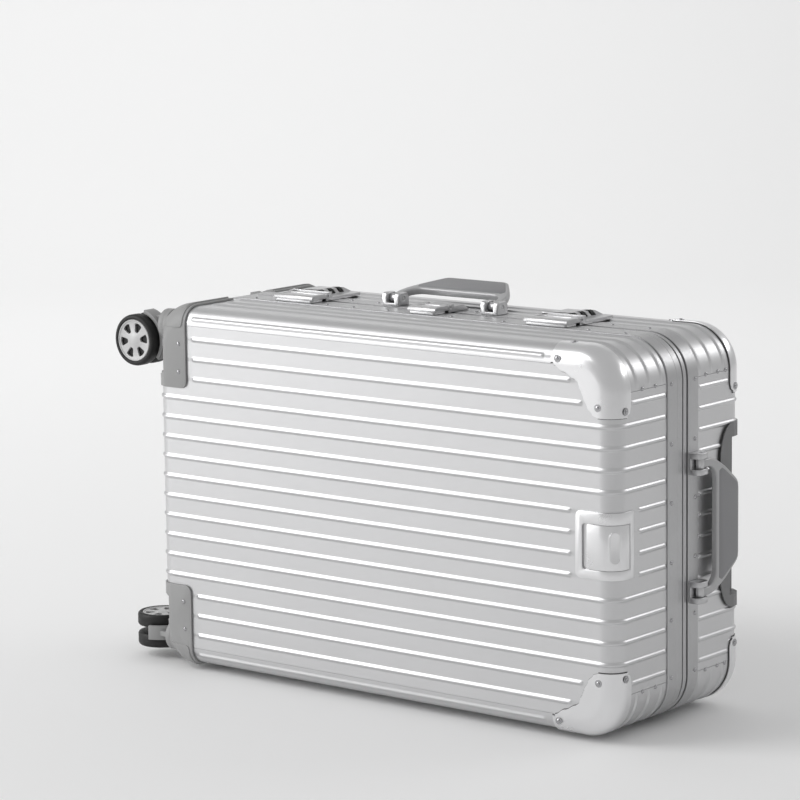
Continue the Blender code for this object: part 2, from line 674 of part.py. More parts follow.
def pocket_shape(name, x, y, inset, ry, rz, hidden=True):
    """Block through the rear half's edge, seen along X as the trolley pocket with two rounded corners."""
    z0, z1 = POCKET_Z[0] + inset, POCKET_Z[1] - inset
    arc = [(y[0] + ry - ry * math.sin(a), rz - rz * math.cos(a)) for a in (math.radians(15 * i) for i in range(7))]
    edge = [(y[1], z0)] + [(b, z0 + c) for b, c in arc] + [(b, z1 - c) for b, c in reversed(arc)] + [(y[1], z1)]
    return prism(name, edge, 0, *x, hidden=hidden)


def trolley_housing():
    """Pocket let into the rear half's edge, with the two channels that the tubes slide in."""
    skin = pocket_shape("trolley_housing", (318.0, 360.0), (80.0, 140.0), 0.0, 26.0, 44.0, hidden=False)
    cut(keep(skin, case_solid("outer", 1, 3.4)), case_solid("inner", 1, RIB_HEIGHT + GAP))
    pocket = keep(pocket_shape("pocket", (316.0, 352.0), (84.0, 132.5), 3.5, 22.0, 40.0), case_solid("limit", 1, 3.0))
    join(skin, pocket)
    for z in (Z_MID - TUBE_Z, Z_MID + TUBE_Z):
        join(skin, box("channel", (-240.0, 318.0), (TUBE_Y - 6.5, TUBE_Y + 6.5), (z - 9.0, z + 9.0)))
    cut(skin, box("room", (319.0, 370.0), (100.0, 123.5), (140.0, 330.0), hidden=True),
        box("low_lip", (334.5, 370.0), (101.0, 140.0), (140.2, 329.8), hidden=True))
    for z in (Z_MID - TUBE_Z, Z_MID + TUBE_Z):
        cut(skin, box("way", (-300.0, 330.0), (TUBE_Y - 5.0, TUBE_Y + 5.0), (z - 7.5, z + 7.5), hidden=True))
    return finish(skin, (0.06, 0.06, 0.065), 0.0, 0.45, 35)


def trolley_stage():
    """Two tubes with the bridge that carries the grip."""
    stage = box("trolley_stage", (324.0, 331.0), (TUBE_Y - 4.0, TUBE_Y + 4.0), (Z_MID - TUBE_Z, Z_MID + TUBE_Z))
    for z in (Z_MID - TUBE_Z, Z_MID + TUBE_Z):
        join(stage, box("tube", (-215.0, 331.0), (TUBE_Y - 4.7, TUBE_Y + 4.7), (z - 7.2, z + 7.2)))
    for z in (Z_MID - TUBE_Z, Z_MID + TUBE_Z):
        cut(stage, box("bore", (-250.0, 300.0), (TUBE_Y - 3.5, TUBE_Y + 3.5), (z - 6.0, z + 6.0), hidden=True))
    set_origin(stage, 324.0, TUBE_Y, Z_MID)
    return fitting(stage)


def trolley_grip():
    """Low bar over both tubes with a raised middle for the hand."""
    grip = box("trolley_grip", (331.3, 345.5), (102.0, 121.0), (Z_MID - 36.0, Z_MID + 36.0))
    bevel(grip, 3.5, 3)
    join(grip, bevel(box("bar", (331.5, 338.5), (102.3, 120.7), (Z_MID - 78.0, Z_MID + 78.0)), 2.0, 2))
    cut(grip, box("room", (337.0, 360.0), (TUBE_Y - 5.3, TUBE_Y + 5.3), (Z_MID - 15.3, Z_MID + 15.3), hidden=True))
    return dark_plastic(grip)


def trolley_button():
    button = box("trolley_button", (341.0, 347.5), (TUBE_Y - 5.0, TUBE_Y + 5.0), (Z_MID - 15.0, Z_MID + 15.0))
    bevel(button, 1.0)
    set_origin(button, 347.5, TUBE_Y, Z_MID)
    return grey_plastic(button)


# ---------------------------------------------------------------- assembly


def build():
    for obj in list(bpy.data.objects):
        bpy.data.objects.remove(obj)
    rear_back = rear_rail()
    for tag, side in (("lid", -1), ("rear", 1)):
        panel = shell_panel(f"{tag}_panel", side)
        if side > 0:
            cut(panel, pocket_shape("opening", (315.0, 360.0), (83.5, 140.0), 3.2, 22.4, 40.4))
        aluminium(panel)
        for place, upper in (("top", True), ("bottom", False)):
            aluminium(shell_strip(f"{tag}_{place}_strip", side, upper))
            aluminium(corner_guard(f"{tag}_{place}_guard", side, upper))
    rail_metal(rear_back)
    rail_metal(lid_rail())
    finish(lining("lid_lining", -1, 3.0, 127.0), (0.1, 0.1, 0.11), 0.0, 0.9, 35)
    tray = lining("rear_lining", 1, 7.5, 98.0)
    cut(tray, box("housing_room", (315.5, 400.0), (83.5, 140.0), (121.0, 347.5), hidden=True))
    finish(tray, (0.1, 0.1, 0.11), 0.0, 0.9, 35)
    side_foot("lid_foot_wheel_end", -225.0, -75.5)
    side_foot("lid_foot_handle_end", 215.0, -75.5)
    side_foot("rear_foot_wheel_end", -255.0, 77.5)
    side_foot("rear_foot_handle_end", 245.0, 77.5)
    aluminium(hook_plate())
    aluminium(hook_flap())
    fitting(hinge_leaf("hinge_rear_leaf", True))
    leaf = fitting(hinge_leaf("hinge_lid_leaf", False))
    set_origin(leaf, 0.0, HINGE_Y, HINGE_Z)
    fitting(cylinder("hinge_pin", 0, (HINGE_Y, HINGE_Z), PIN_R, HINGE_X[0] - 1, HINGE_X[1] + 1, 12))
    for side, half in ((-1, "lid"), (1, "rear")):
        for upper, place in ((True, "top"), (False, "bottom")):
            caster(f"{half}_{place}", side, upper)
    handles()
    latches()
    trolley_housing()
    trolley_stage()
    trolley_grip()
    trolley_button()
    for obj in bpy.data.objects:
        obj.location.x -= ORIGIN_X * MM


build()
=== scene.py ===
import json
import math

import bpy
from mathutils import Matrix, Vector


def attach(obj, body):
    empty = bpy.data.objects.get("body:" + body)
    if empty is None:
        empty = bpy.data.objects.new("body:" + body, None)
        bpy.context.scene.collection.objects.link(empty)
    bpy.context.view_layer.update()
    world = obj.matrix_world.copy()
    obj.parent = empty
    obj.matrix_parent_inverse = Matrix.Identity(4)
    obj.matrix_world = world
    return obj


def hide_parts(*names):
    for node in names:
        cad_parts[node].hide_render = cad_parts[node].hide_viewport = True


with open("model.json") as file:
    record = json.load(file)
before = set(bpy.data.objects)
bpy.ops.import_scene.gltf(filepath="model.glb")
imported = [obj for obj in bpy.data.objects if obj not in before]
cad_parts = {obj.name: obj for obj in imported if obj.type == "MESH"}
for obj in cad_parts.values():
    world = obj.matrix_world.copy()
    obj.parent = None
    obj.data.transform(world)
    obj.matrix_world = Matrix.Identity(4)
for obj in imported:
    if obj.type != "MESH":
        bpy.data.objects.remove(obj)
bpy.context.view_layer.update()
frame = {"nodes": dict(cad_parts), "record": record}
bpy.ops.object.select_all(action="DESELECT")

# ---- Studio ---------------------------------------------------------------
# A pale painted sweep under one big soft box to the left of the camera. Two narrow strip lights, one
# above the face and one behind the handle end, draw the bright lines on the ribs.

MM = 0.001


def linear(hex_colour):
    """An sRGB hex colour as the linear RGBA that shader sockets take."""
    channels = [int(hex_colour[i:i + 2], 16) / 255 for i in (1, 3, 5)]
    return (*[c / 12.92 if c <= 0.04045 else ((c + 0.055) / 1.055) ** 2.4 for c in channels], 1.0)


def add_node(material, kind, settings=None, links=None):
    """Adds one node, sets its properties or sockets, and links its inputs from (node, output) pairs."""
    node = material.node_tree.nodes.new(kind)
    for name, value in (settings or {}).items():
        if isinstance(name, int) or name in node.inputs:
            node.inputs[name].default_value = value
        else:
            setattr(node, name, value)
    for name, (source, output) in (links or {}).items():
        material.node_tree.links.new(source.outputs[output], node.inputs[name])
    return node


def new_material(name, colour, metallic, roughness):
    material = bpy.data.materials.new(name)
    material.use_nodes = True
    shader = material.node_tree.nodes["Principled BSDF"]
    shader.inputs["Base Color"].default_value = linear(colour)
    shader.inputs["Metallic"].default_value = metallic
    shader.inputs["Roughness"].default_value = roughness
    return material, shader


# The sweep rises farther off than the camera stands, so that no view is taken through it.
SWEEP_WIDTH, SWEEP_DEPTH, SWEEP_BACK, SWEEP_HEIGHT, SWEEP_BEND = 34.0, 21.2, 6.2, 9.0, 2.4
CAMERA_TURN, CAMERA_TILT, CAMERA_ROLL = 38.67, -9.268, -0.724
bpy.ops.mesh.primitive_plane_add(size=1, location=(0, 0, 0))
floor = bpy.context.object
floor.name = "studio_sweep"
floor.data.transform(Matrix.Translation((0, SWEEP_BACK - SWEEP_DEPTH / 2, 0))
                     @ Matrix.Diagonal((SWEEP_WIDTH, SWEEP_DEPTH, 1.0, 1.0)))


def edit_back_line():
    """Opens the sweep in edit mode with only its far line on the floor selected."""
    for vertex in floor.data.vertices:
        vertex.select = abs(vertex.co.y - SWEEP_BACK) < 0.01 and abs(vertex.co.z) < 0.01
    for edge in floor.data.edges:
        edge.select = all(floor.data.vertices[v].select for v in edge.vertices)
    for polygon in floor.data.polygons:
        polygon.select = False
    bpy.ops.object.mode_set(mode="EDIT")
    bpy.ops.mesh.select_mode(type="EDGE")


edit_back_line()
bpy.ops.mesh.extrude_region_move(TRANSFORM_OT_translate={"value": (0, 0, SWEEP_HEIGHT)})
bpy.ops.object.mode_set(mode="OBJECT")
edit_back_line()
bpy.ops.mesh.bevel(offset=SWEEP_BEND, segments=32)
bpy.ops.object.mode_set(mode="OBJECT")
bpy.ops.object.shade_smooth()
floor.data.transform(Matrix.Rotation(math.radians(CAMERA_TURN), 4, "Z"))
floor_paint, _ = new_material("pale_sweep_paint", "#F6F6F6", 0.0, 0.8)
floor.data.materials.append(floor_paint)

world = bpy.data.worlds.new("studio_air")
bpy.context.scene.world = world
world.use_nodes = True
world.node_tree.nodes["Background"].inputs["Color"].default_value = (1.0, 1.0, 1.0, 1.0)
world.node_tree.nodes["Background"].inputs["Strength"].default_value = 0.52


def soft_box(name, location, target, size, power):
    lamp = bpy.data.lights.new(name, "AREA")
    lamp.shape = "RECTANGLE"
    lamp.size, lamp.size_y = size
    lamp.energy = power
    obj = bpy.data.objects.new(name, lamp)
    bpy.context.scene.collection.objects.link(obj)
    obj.location = location
    obj.rotation_euler = (Vector(target) - Vector(location)).to_track_quat("-Z", "Y").to_euler()


soft_box("key_soft_box", (-3.4, -3.0, 1.9), (0, 0, 0.25), (2.6, 2.8), 94.0)
soft_box("rib_strip_light", (-1.9, -2.3, 3.4), (0, 0, 0.25), (2.6, 0.3), 26.0)
soft_box("end_strip_light", (1.5, 2.0, 1.55), (0.36, 0, 0.25), (1.6, 0.25), 8.0)
soft_box("sweep_wash", (-2.2, 1.6, 3.4), (-3.6, 4.4, 0.6), (4.0, 1.0), 50.0)
bpy.context.scene.view_settings.view_transform = "Standard"

CAMERA_PLACE, LENS, SENSOR = (2.5404, -3.2187, 1.0223), 153.04, 36.0
camera_data = bpy.data.cameras.new("camera")
camera_data.lens = LENS
camera_data.sensor_width = SENSOR
camera = bpy.data.objects.new("camera", camera_data)
bpy.context.scene.collection.objects.link(camera)
camera.matrix_world = (Matrix.Translation(CAMERA_PLACE) @ Matrix.Rotation(math.radians(CAMERA_TURN), 4, "Z")
                       @ Matrix.Rotation(math.radians(90 + CAMERA_TILT), 4, "X")
                       @ Matrix.Rotation(math.radians(CAMERA_ROLL), 4, "Z"))
bpy.context.scene.camera = camera

# ---- Shell sheets -----------------------------------------------------------
# Each half of the case is a ribbed sheet bent round the face and both ends, closed above and below
# by a ribbed strip. They are rolled aluminium, pressed, anodised and riveted into the frame.

MIDDLE_X = 28.0  # the shell's middle in the frame, in millimetres, as every x below is measured from it
X_END, Y_FACE, Z_LOW, Z_HIGH = 350.0, 130.5, 8.5, 461.0
Z_MID = (Z_LOW + Z_HIGH) / 2
EDGE_R, CORNER_R = 22.0, 51.0
RIB_TOP, RIB_PITCH, RIB_HEIGHT = Z_HIGH - 38.75, 25.0, 1.8
RIB_COUNT, SHEET = 16, 1.4
# Where ribs stop on their way round a half: beside the hook's plate and the guard on the handle end,
# before both on the face, and before the casters' housings at the far end.
HOOK_END_Y, HOOK_FACE_X, GUARD_END_Y, GUARD_FACE_X = 81.5, 284.0, 96.0, 300.0
HOUSING_END_Y, HOUSING_FACE_X = 62.1, -283.0
# Half a rib's section as (distance from its middle, share of its height), mirrored to the whole.
HALF_BEAD = ((0.8, 0.93), (1.7, 0.66), (2.6, 0.18), (3.4, 0.0), (4.2, 0.0))
RIB_BEAD = (*((-d, h) for d, h in reversed(HALF_BEAD)), (0.0, 1.0), *HALF_BEAD)
RIB_RUN_OUT = ((0.0, 1.0), (1.2, 0.96), (2.4, 0.8), (3.4, 0.5), (4.2, 0.2), (4.8, 0.0))


def mesh_object(name, points, faces):
    mesh = bpy.data.meshes.new(name)
    mesh.from_pydata(points, [], faces)
    obj = bpy.data.objects.new(name, mesh)
    bpy.context.scene.collection.objects.link(obj)
    return obj


def surface(name, rows, closed=False):
    """An open grid of points, in millimetres from the shell's middle, with its doubles merged."""
    points = [((x + MIDDLE_X) * MM, y * MM, z * MM) for row in rows for x, y, z in row]
    n, count = len(rows[0]), len(rows)
    faces = [(i * n + k, i * n + k + 1, (i + 1) % count * n + k + 1, (i + 1) % count * n + k)
             for i in range(count if closed else count - 1) for k in range(n - 1)]
    return edit_all(mesh_object(name, points, faces), (bpy.ops.mesh.remove_doubles, {"threshold": 0.02 * MM}),
                    (bpy.ops.mesh.dissolve_degenerate, {"threshold": 0.01 * MM}))


def select_only(obj):
    bpy.ops.object.select_all(action="DESELECT")
    obj.select_set(True)
    bpy.context.view_layer.objects.active = obj


def modify(obj, kind, **settings):
    """Adds a modifier, sets it and applies it."""
    select_only(obj)
    modifier = obj.modifiers.new(kind.title(), kind)
    for name, value in settings.items():
        setattr(modifier, name, value)
    bpy.ops.object.modifier_apply(modifier=modifier.name)
    return obj


def edit_all(obj, *steps):
    """Runs edit-mode operators, each with its settings, on the whole of a piece."""
    select_only(obj)
    bpy.ops.object.mode_set(mode="EDIT")
    bpy.ops.mesh.select_all(action="SELECT")
    for operator, settings in steps:
        operator(**settings)
    bpy.ops.object.mode_set(mode="OBJECT")
    return obj


def face_outwards(obj):
    return edit_all(obj, (bpy.ops.mesh.normals_make_consistent, {"inside": False}))


def smooth(obj, angle=40):
    select_only(obj)
    bpy.ops.object.shade_smooth_by_angle(angle=math.radians(angle))
    return obj


def facing(obj, direction):
    """Turns an open sheet's faces so that most of its area looks along a direction."""
    total = Vector((0, 0, 0))
    for polygon in obj.data.polygons:
        total += polygon.normal * polygon.area
    if total.dot(Vector(direction)) < 0:
        obj.data.flip_normals()
    return obj


def rib_levels(low, high):
    """(z, rib number or None, bead height) up the panel."""
    levels = [(low, None, 0.0)]
    for k in reversed(range(RIB_COUNT)):
        levels += [(RIB_TOP - RIB_PITCH * k + dz, k, h) for dz, h in RIB_BEAD]
    return levels + [(high, None, 0.0)]


def panel_path(side):
    """((x, y), normal, height of each rib) round one half, from the handle end to the wheel end."""
    rail = 28.6 if side < 0 else 35.9
    plate = {6, 7, 8, 9} if side < 0 else set()
    every = set(range(RIB_COUNT))
    path = []

    def add(x, y, nx, ny, heights):
        path.append(((x, side * y), (nx, side * ny), heights))

    def fade(standing, going, share):
        return {k: (share if k in going else 1.0) for k in standing}

    wrap = every - {0, 15}
    add(X_END, rail - 8.0, 1, 0, {})
    for d, h in reversed(RIB_RUN_OUT):
        add(X_END, rail + 5.4 - d, 1, 0, {k: h for k in wrap})
    for d, h in RIB_RUN_OUT:
        add(X_END, HOOK_END_Y + d, 1, 0, fade(wrap, plate, h))
    held = wrap - plate
    for d, h in RIB_RUN_OUT:
        add(X_END, GUARD_END_Y + d, 1, 0, fade(held, {1, 14}, h))
    held = held - {1, 14}
    for i in range(13):
        angle = math.radians(90 * i / 12)
        add(X_END - EDGE_R + EDGE_R * math.cos(angle), Y_FACE - EDGE_R + EDGE_R * math.sin(angle),
            math.cos(angle), math.sin(angle), {k: 1.0 for k in held})
    for i in range(1, 12):
        angle = math.radians(90 * i / 12)
        x = X_END - CORNER_R + (CORNER_R - EDGE_R) * math.cos(angle)
        if x > 306.0:
            add(x, Y_FACE, 0, 1, {k: 1.0 for k in held})
    for d, h in reversed(RIB_RUN_OUT):
        add(GUARD_FACE_X + d, Y_FACE, 0, 1, {**{k: 1.0 for k in held}, 1: h, 14: h})
    held = held | {1, 14}
    add(X_END - CORNER_R, Y_FACE, 0, 1, {k: 1.0 for k in held})
    for d, h in reversed(RIB_RUN_OUT):
        add(HOOK_FACE_X + d, Y_FACE, 0, 1, {**{k: 1.0 for k in held}, **{k: h for k in plate | {0, 15}}})
    for d, h in RIB_RUN_OUT:
        add(HOUSING_FACE_X - d, Y_FACE, 0, 1, fade(every, {0, 1, 2, 13, 14, 15}, h))
    held = every - {0, 1, 2, 13, 14, 15}
    for i in range(13):
        angle = math.radians(90 - 90 * i / 12)
        x = -(X_END - CORNER_R) - (CORNER_R - EDGE_R) * math.cos(angle)
        add(x, Y_FACE, 0, 1, {k: 1.0 for k in held})
    for i in range(1, 13):
        angle = math.radians(90 - 90 * i / 12)
        add(-X_END + EDGE_R - EDGE_R * math.cos(angle), Y_FACE - EDGE_R + EDGE_R * math.sin(angle),
            -math.cos(angle), math.sin(angle), {k: 1.0 for k in held})
    add(-X_END, HOUSING_END_Y + 0.1, -1, 0, {k: 1.0 for k in held})
    add(-X_END, HOUSING_END_Y - 0.1, -1, 0, {k: 1.0 for k in held})
    for d, h in RIB_RUN_OUT:
        add(-X_END, rail + 5.4 - d, -1, 0, {k: h for k in held})
    add(-X_END, rail - 8.0, -1, 0, {})
    return path


def panel_top(x, y):
    """How high the panel reaches: under the strip on the face, to the seam on the ends."""
    seam, inner = Z_HIGH - 51.4, CORNER_R - EDGE_R - 0.15
    if x < -333.0 and abs(y) > HOUSING_END_Y:
        return 376.0  # the floor of the caster's recess
    beyond = abs(x) - (X_END - CORNER_R)
    if beyond <= 0:
        return Z_HIGH - EDGE_R - 0.15
    if beyond >= inner:
        return seam
    return max(seam, Z_HIGH - CORNER_R + math.sqrt(inner ** 2 - beyond ** 2))


def ribbed_panel(name, side):
    rows = []
    for (x, y), (nx, ny), heights in panel_path(side):
        top = panel_top(x, y)
        row = []
        for z, k, bead in rib_levels(Z_LOW + EDGE_R + 0.15, Z_HIGH - EDGE_R - 0.15):
            lift = RIB_HEIGHT * bead * heights.get(k, 0.0)
            row.append((x + nx * lift, y + ny * lift, min(max(z, 2 * Z_MID - top), top)))
        rows.append(row)
    panel = facing(surface(name, rows), (0, side, 0))
    return modify(panel, "SOLIDIFY", thickness=SHEET * MM, offset=-1.0)


def strip_path():
    """((x, z), (nx, nz), edge rib height, side rib height) round both corners of a long side."""
    path = []
    arc = [90 * i / 16 for i in range(17)]
    for i, degrees in enumerate(arc):
        a = math.radians(degrees)
        path.append((X_END - CORNER_R + CORNER_R * math.cos(a), Z_HIGH - CORNER_R + CORNER_R * math.sin(a),
                     math.cos(a), math.sin(a), 0.0, min(1.0, max(0.0, (degrees - 4) / 10))))
    for d, h in reversed(RIB_RUN_OUT):
        path.append((246.0 + d, Z_HIGH, 0, 1, h, 1.0))
    for d, h in RIB_RUN_OUT:
        path.append((-284.0 - d, Z_HIGH, 0, 1, h, h))
    for degrees in reversed(arc):
        a = math.radians(degrees)
        path.append((-X_END + CORNER_R - CORNER_R * math.cos(a), Z_HIGH - CORNER_R + CORNER_R * math.sin(a),
                     -math.cos(a), math.sin(a), 0.0, 0.0))
    return path


SIDE_RIBS = {-1: (38.0, 63.0, 88.0), 1: (40.0, 65.0, 90.0)}


def ribbed_strip(name, side, upper):
    rows = []
    face = Y_FACE - EDGE_R
    for x, z, nx, nz, edge, along in strip_path():
        row = [(x, side * 20.0, z)]
        for y in SIDE_RIBS[side]:
            row += [(x + nx * h * along * RIB_HEIGHT, side * (y + dy), z + nz * h * along * RIB_HEIGHT)
                    for dy, h in RIB_BEAD]
        for i in range(25):
            angle = 90 * i / 24 - (0.4 if i == 24 else 0)
            bead = max(0.0, math.cos((angle - 68) / 8 * math.pi / 2)) ** 1.5 if abs(angle - 68) < 8 else 0.0
            r = EDGE_R + RIB_HEIGHT * bead * edge
            d = r * math.cos(math.radians(angle)) - EDGE_R
            row.append((x + nx * d, side * (face + r * math.sin(math.radians(angle))), z + nz * d))
        rows.append(row if upper else [(a, b, 2 * Z_MID - c) for a, b, c in row])
    strip = facing(surface(name, rows), (0, 0, 1 if upper else -1))
    return modify(strip, "SOLIDIFY", thickness=SHEET * MM, offset=-1.0)


def pocket_block(name, y, low, high, y_radius, z_radius, x0, x1):
    """A block along X whose two corners nearest the frame are quarter ellipses."""
    outline = [(160.0, low), (160.0, high)]
    for i in range(13):
        a = math.radians(90 * i / 12)
        outline.append((y + y_radius * (1 - math.sin(a)), high - z_radius * (1 - math.cos(a))))
    for i in range(13):
        a = math.radians(90 * i / 12)
        outline.append((y + y_radius * (1 - math.cos(a)), low + z_radius * (1 - math.sin(a))))
    rows = [[(x, a, b) for a, b in outline + outline[:1]] for x in (x0, x1)]
    return face_outwards(edit_all(surface(name, rows), (bpy.ops.mesh.fill_holes, {"sides": 0})))


def carve(piece, operation, *tools):
    """Cuts, keeps or joins by closed tools, and throws the tools away."""
    for tool in tools:
        modify(piece, "BOOLEAN", object=tool, operation=operation, solver="EXACT")
        bpy.data.objects.remove(tool)
    return piece


def hand_over(piece, material, body, slot, *nodes):
    """Paints a finished piece and says which body it rides and which CAD nodes it stands for."""
    piece.data.materials.clear()
    piece.data.materials.append(material)
    select_only(piece)
    bpy.ops.object.transform_apply(location=True, rotation=True, scale=True)
    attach(piece, body)
    for node in nodes:
        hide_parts(node)


# Rolled and anodised aluminium sheet: satin, with a faint grain along the rolling direction and
# very slight cloudiness from handling.
sheet_metal, sheet_shader = new_material("satin_anodised_aluminium_sheet", "#D2D2D3", 1.0, 0.36)
sheet_place = add_node(sheet_metal, "ShaderNodeTexCoord")
sheet_stretch = add_node(sheet_metal, "ShaderNodeMapping", {"Scale": (6.0, 900.0, 900.0)},
                         {"Vector": (sheet_place, "Object")})
sheet_grain = add_node(sheet_metal, "ShaderNodeTexNoise", {"Scale": 1.0, "Detail": 3.0},
                       {"Vector": (sheet_stretch, "Vector")})
sheet_cloud = add_node(sheet_metal, "ShaderNodeTexNoise", {"Scale": 9.0, "Detail": 4.0},
                       {"Vector": (sheet_place, "Object")})
sheet_mix = add_node(sheet_metal, "ShaderNodeMath", {"operation": "MULTIPLY_ADD", 1: 0.35},
                     {0: (sheet_grain, "Fac"), 2: (sheet_cloud, "Fac")})
sheet_rough = add_node(sheet_metal, "ShaderNodeMapRange", {"From Min": 0.35, "From Max": 1.0, "To Min": 0.33,
                                                           "To Max": 0.45}, {"Value": (sheet_mix, "Value")})
sheet_bump = add_node(sheet_metal, "ShaderNodeBump", {"Strength": 0.12, "Distance": 0.0001},
                      {"Height": (sheet_grain, "Fac")})
sheet_metal.node_tree.links.new(sheet_rough.outputs["Result"], sheet_shader.inputs["Roughness"])
sheet_metal.node_tree.links.new(sheet_bump.outputs["Normal"], sheet_shader.inputs["Normal"])

for half, side, body in (("lid", -1, "lid"), ("rear", 1, "rear_case")):
    panel = ribbed_panel(f"{half}_ribbed_panel", side)
    if side > 0:
        opening = pocket_block("handle_opening", 83.5, 128.2, 344.3, 22.4, 40.4, 315.0, 359.0)
        carve(panel, "DIFFERENCE", opening)
    hand_over(smooth(panel, 50), sheet_metal, body, "shell_aluminium", f"{half}_panel")
    for place, upper in (("top", True), ("bottom", False)):
        strip = smooth(ribbed_strip(f"{half}_{place}_ribbed_strip", side, upper), 50)
        hand_over(strip, sheet_metal, body, "shell_aluminium", f"{half}_{place}_strip")

# ---- Frame rails ------------------------------------------------------------
# Two extruded aluminium rings close the mouths of the halves and take the rivets of the sheets. The
# rear one has a seal ridge between two grooves, which the lid's ring closes on.


def blend_between(values, t):
    """Reads a smooth curve through (position, value) pairs at t."""
    for (a, low), (b, high) in zip(values, values[1:]):
        if t <= b:
            share = max(0.0, (t - a) / (b - a))
            return low + (high - low) * share * share * (3 - 2 * share)
    return values[-1][1]


def ring_path(steps=16):
    """The outline of the case seen along Y, as (x, z, nx, nz)."""
    path = []
    for quadrant in range(4):
        cx = (X_END - CORNER_R) * (1 if quadrant in (0, 3) else -1)
        cz = Z_MID + (Z_HIGH - Z_MID - CORNER_R) * (1 if quadrant in (0, 1) else -1)
        for i in range(steps + 1):
            angle = math.radians(90 * quadrant + 90 * i / steps)
            nx, nz = math.cos(angle), math.sin(angle)
            path.append((cx + CORNER_R * nx, cz + CORNER_R * nz, nx, nz))
    return path


def bent_rail(name, section):
    """The section, (outside the sheet, y), swept round the case."""
    section = section + section[:1]
    rows = [[(x + nx * d, y, z + nz * d) for d, y in section] for x, z, nx, nz in ring_path()]
    return face_outwards(surface(name, rows, closed=True))


def finish_of(name, colour, second, metallic, roughness, rougher, grain_mm, depth_mm):
    """A material whose colour and gloss drift a little over a grain of this size."""
    material, shader = new_material(name, colour, metallic, roughness)
    place = add_node(material, "ShaderNodeTexCoord")
    grain = add_node(material, "ShaderNodeTexNoise", {"Scale": 1000 / grain_mm, "Detail": 3.0},
                     {"Vector": (place, "Object")})
    patch = add_node(material, "ShaderNodeTexNoise", {"Scale": 14.0, "Detail": 2.0},
                     {"Vector": (place, "Object")})
    tone = add_node(material, "ShaderNodeMix", {"data_type": "RGBA"}, {0: (patch, "Fac")})
    tone.inputs[6].default_value, tone.inputs[7].default_value = linear(colour), linear(second)
    gloss = add_node(material, "ShaderNodeMapRange", {"From Min": 0.3, "From Max": 0.7, "To Min": roughness,
                                                      "To Max": rougher}, {"Value": (grain, "Fac")})
    relief = add_node(material, "ShaderNodeBump", {"Strength": 0.35, "Distance": depth_mm * MM},
                      {"Height": (grain, "Fac")})
    material.node_tree.links.new(tone.outputs[2], shader.inputs["Base Color"])
    material.node_tree.links.new(gloss.outputs["Result"], shader.inputs["Roughness"])
    material.node_tree.links.new(relief.outputs["Normal"], shader.inputs["Normal"])
    return material


# Extruded aluminium, anodised matt: even grey, with the die's fine lines along its length.
rail_metal = finish_of("matt_anodised_rail_extrusion", "#C2C2C3", "#B8B8B9", 1.0, 0.36, 0.46, 3.0, 0.02)
LID_RAIL_SECTION = [(-6.0, 1.4), (1.2, 1.4), (1.8, 0.8), (1.8, -8.6), (1.5, -9.0), (1.8, -9.4), (1.8, -26.8),
                    (1.2, -27.6), (0.2, -27.6), (0.2, -11.4), (-6.0, -11.4)]
REAR_RAIL_SECTION = [(-6.0, 2.3), (-1.6, 2.3), (-1.6, 5.2), (0.4, 5.2), (0.8, 5.6), (0.8, 11.0), (0.4, 11.4),
                     (-1.6, 11.4), (-1.6, 13.9), (1.2, 13.9), (1.8, 14.5), (1.8, 34.2), (1.2, 35.0), (0.2, 35.0),
                     (0.2, 18.7), (-6.0, 18.7)]
for half, body, section in (("lid", "lid", LID_RAIL_SECTION), ("rear", "rear_case", REAR_RAIL_SECTION)):
    rail = smooth(bent_rail(f"{half}_bent_rail", section), 35)
    hand_over(rail, rail_metal, body, "rail_aluminium", f"{half}_rail")

# ---- Corner guards ------------------------------------------------------------
# A cap of pressed aluminium is riveted over each handle-end corner. Its tongue on the face runs to an
# S-shaped edge. It is brighter than the sheet, because pressing polishes it.

# Pressed aluminium with clear anodising: smooth, so it carries broad soft highlights.
bright_cap_metal = finish_of("bright_pressed_aluminium", "#EBEBEC", "#E2E2E3", 1.0, 0.27, 0.33, 25.0, 0.02)
# A thin dark grey sheet under the guard's edge is painted shade: it draws the shaded crease round the guard as a
# dark line.
painted_shade_grey = finish_of("guard_edge_painted_shade_grey", "#4C4C4C", "#444444", 0.0, 0.6, 0.7, 1.5, 0.02)
GUARD_REACH = [(0.0, 17.0), (1.5, 20.5), (4.0, 22.5), (17.0, 29.5), (33.0, 36.5), (37.0, 39.5), (50.5, 43.5),
               (64.0, 46.0), (90.0, 46.3), (117.0, 45.5), (123.0, 43.0), (134.0, 37.5), (142.0, 30.5),
               (145.0, 23.0)]
GUARD_BACK = [(0.0, 12.0), (2.0, 7.0), (7.0, 1.5), (14.0, 0.0), (133.0, 0.0), (140.0, 2.0), (143.5, 6.5),
              (145.0, 11.0)]
GUARD_TIP, GUARD_LENGTH = 37.0, 145.0  # how far it runs before the corner, and in all


def guard_station(t):
    """(x, z, nx, nz) at a distance t along the guard, from its tip round the corner and down the end."""
    turn = CORNER_R * math.pi / 2
    if t <= GUARD_TIP:
        return X_END - CORNER_R - GUARD_TIP + t, Z_HIGH, 0.0, 1.0
    if t <= GUARD_TIP + turn:
        a = math.pi / 2 - (t - GUARD_TIP) / CORNER_R
        return (X_END - CORNER_R + CORNER_R * math.cos(a), Z_HIGH - CORNER_R + CORNER_R * math.sin(a),
                math.cos(a), math.sin(a))
    return X_END, Z_HIGH - CORNER_R - (t - GUARD_TIP - turn), 1.0, 0.0


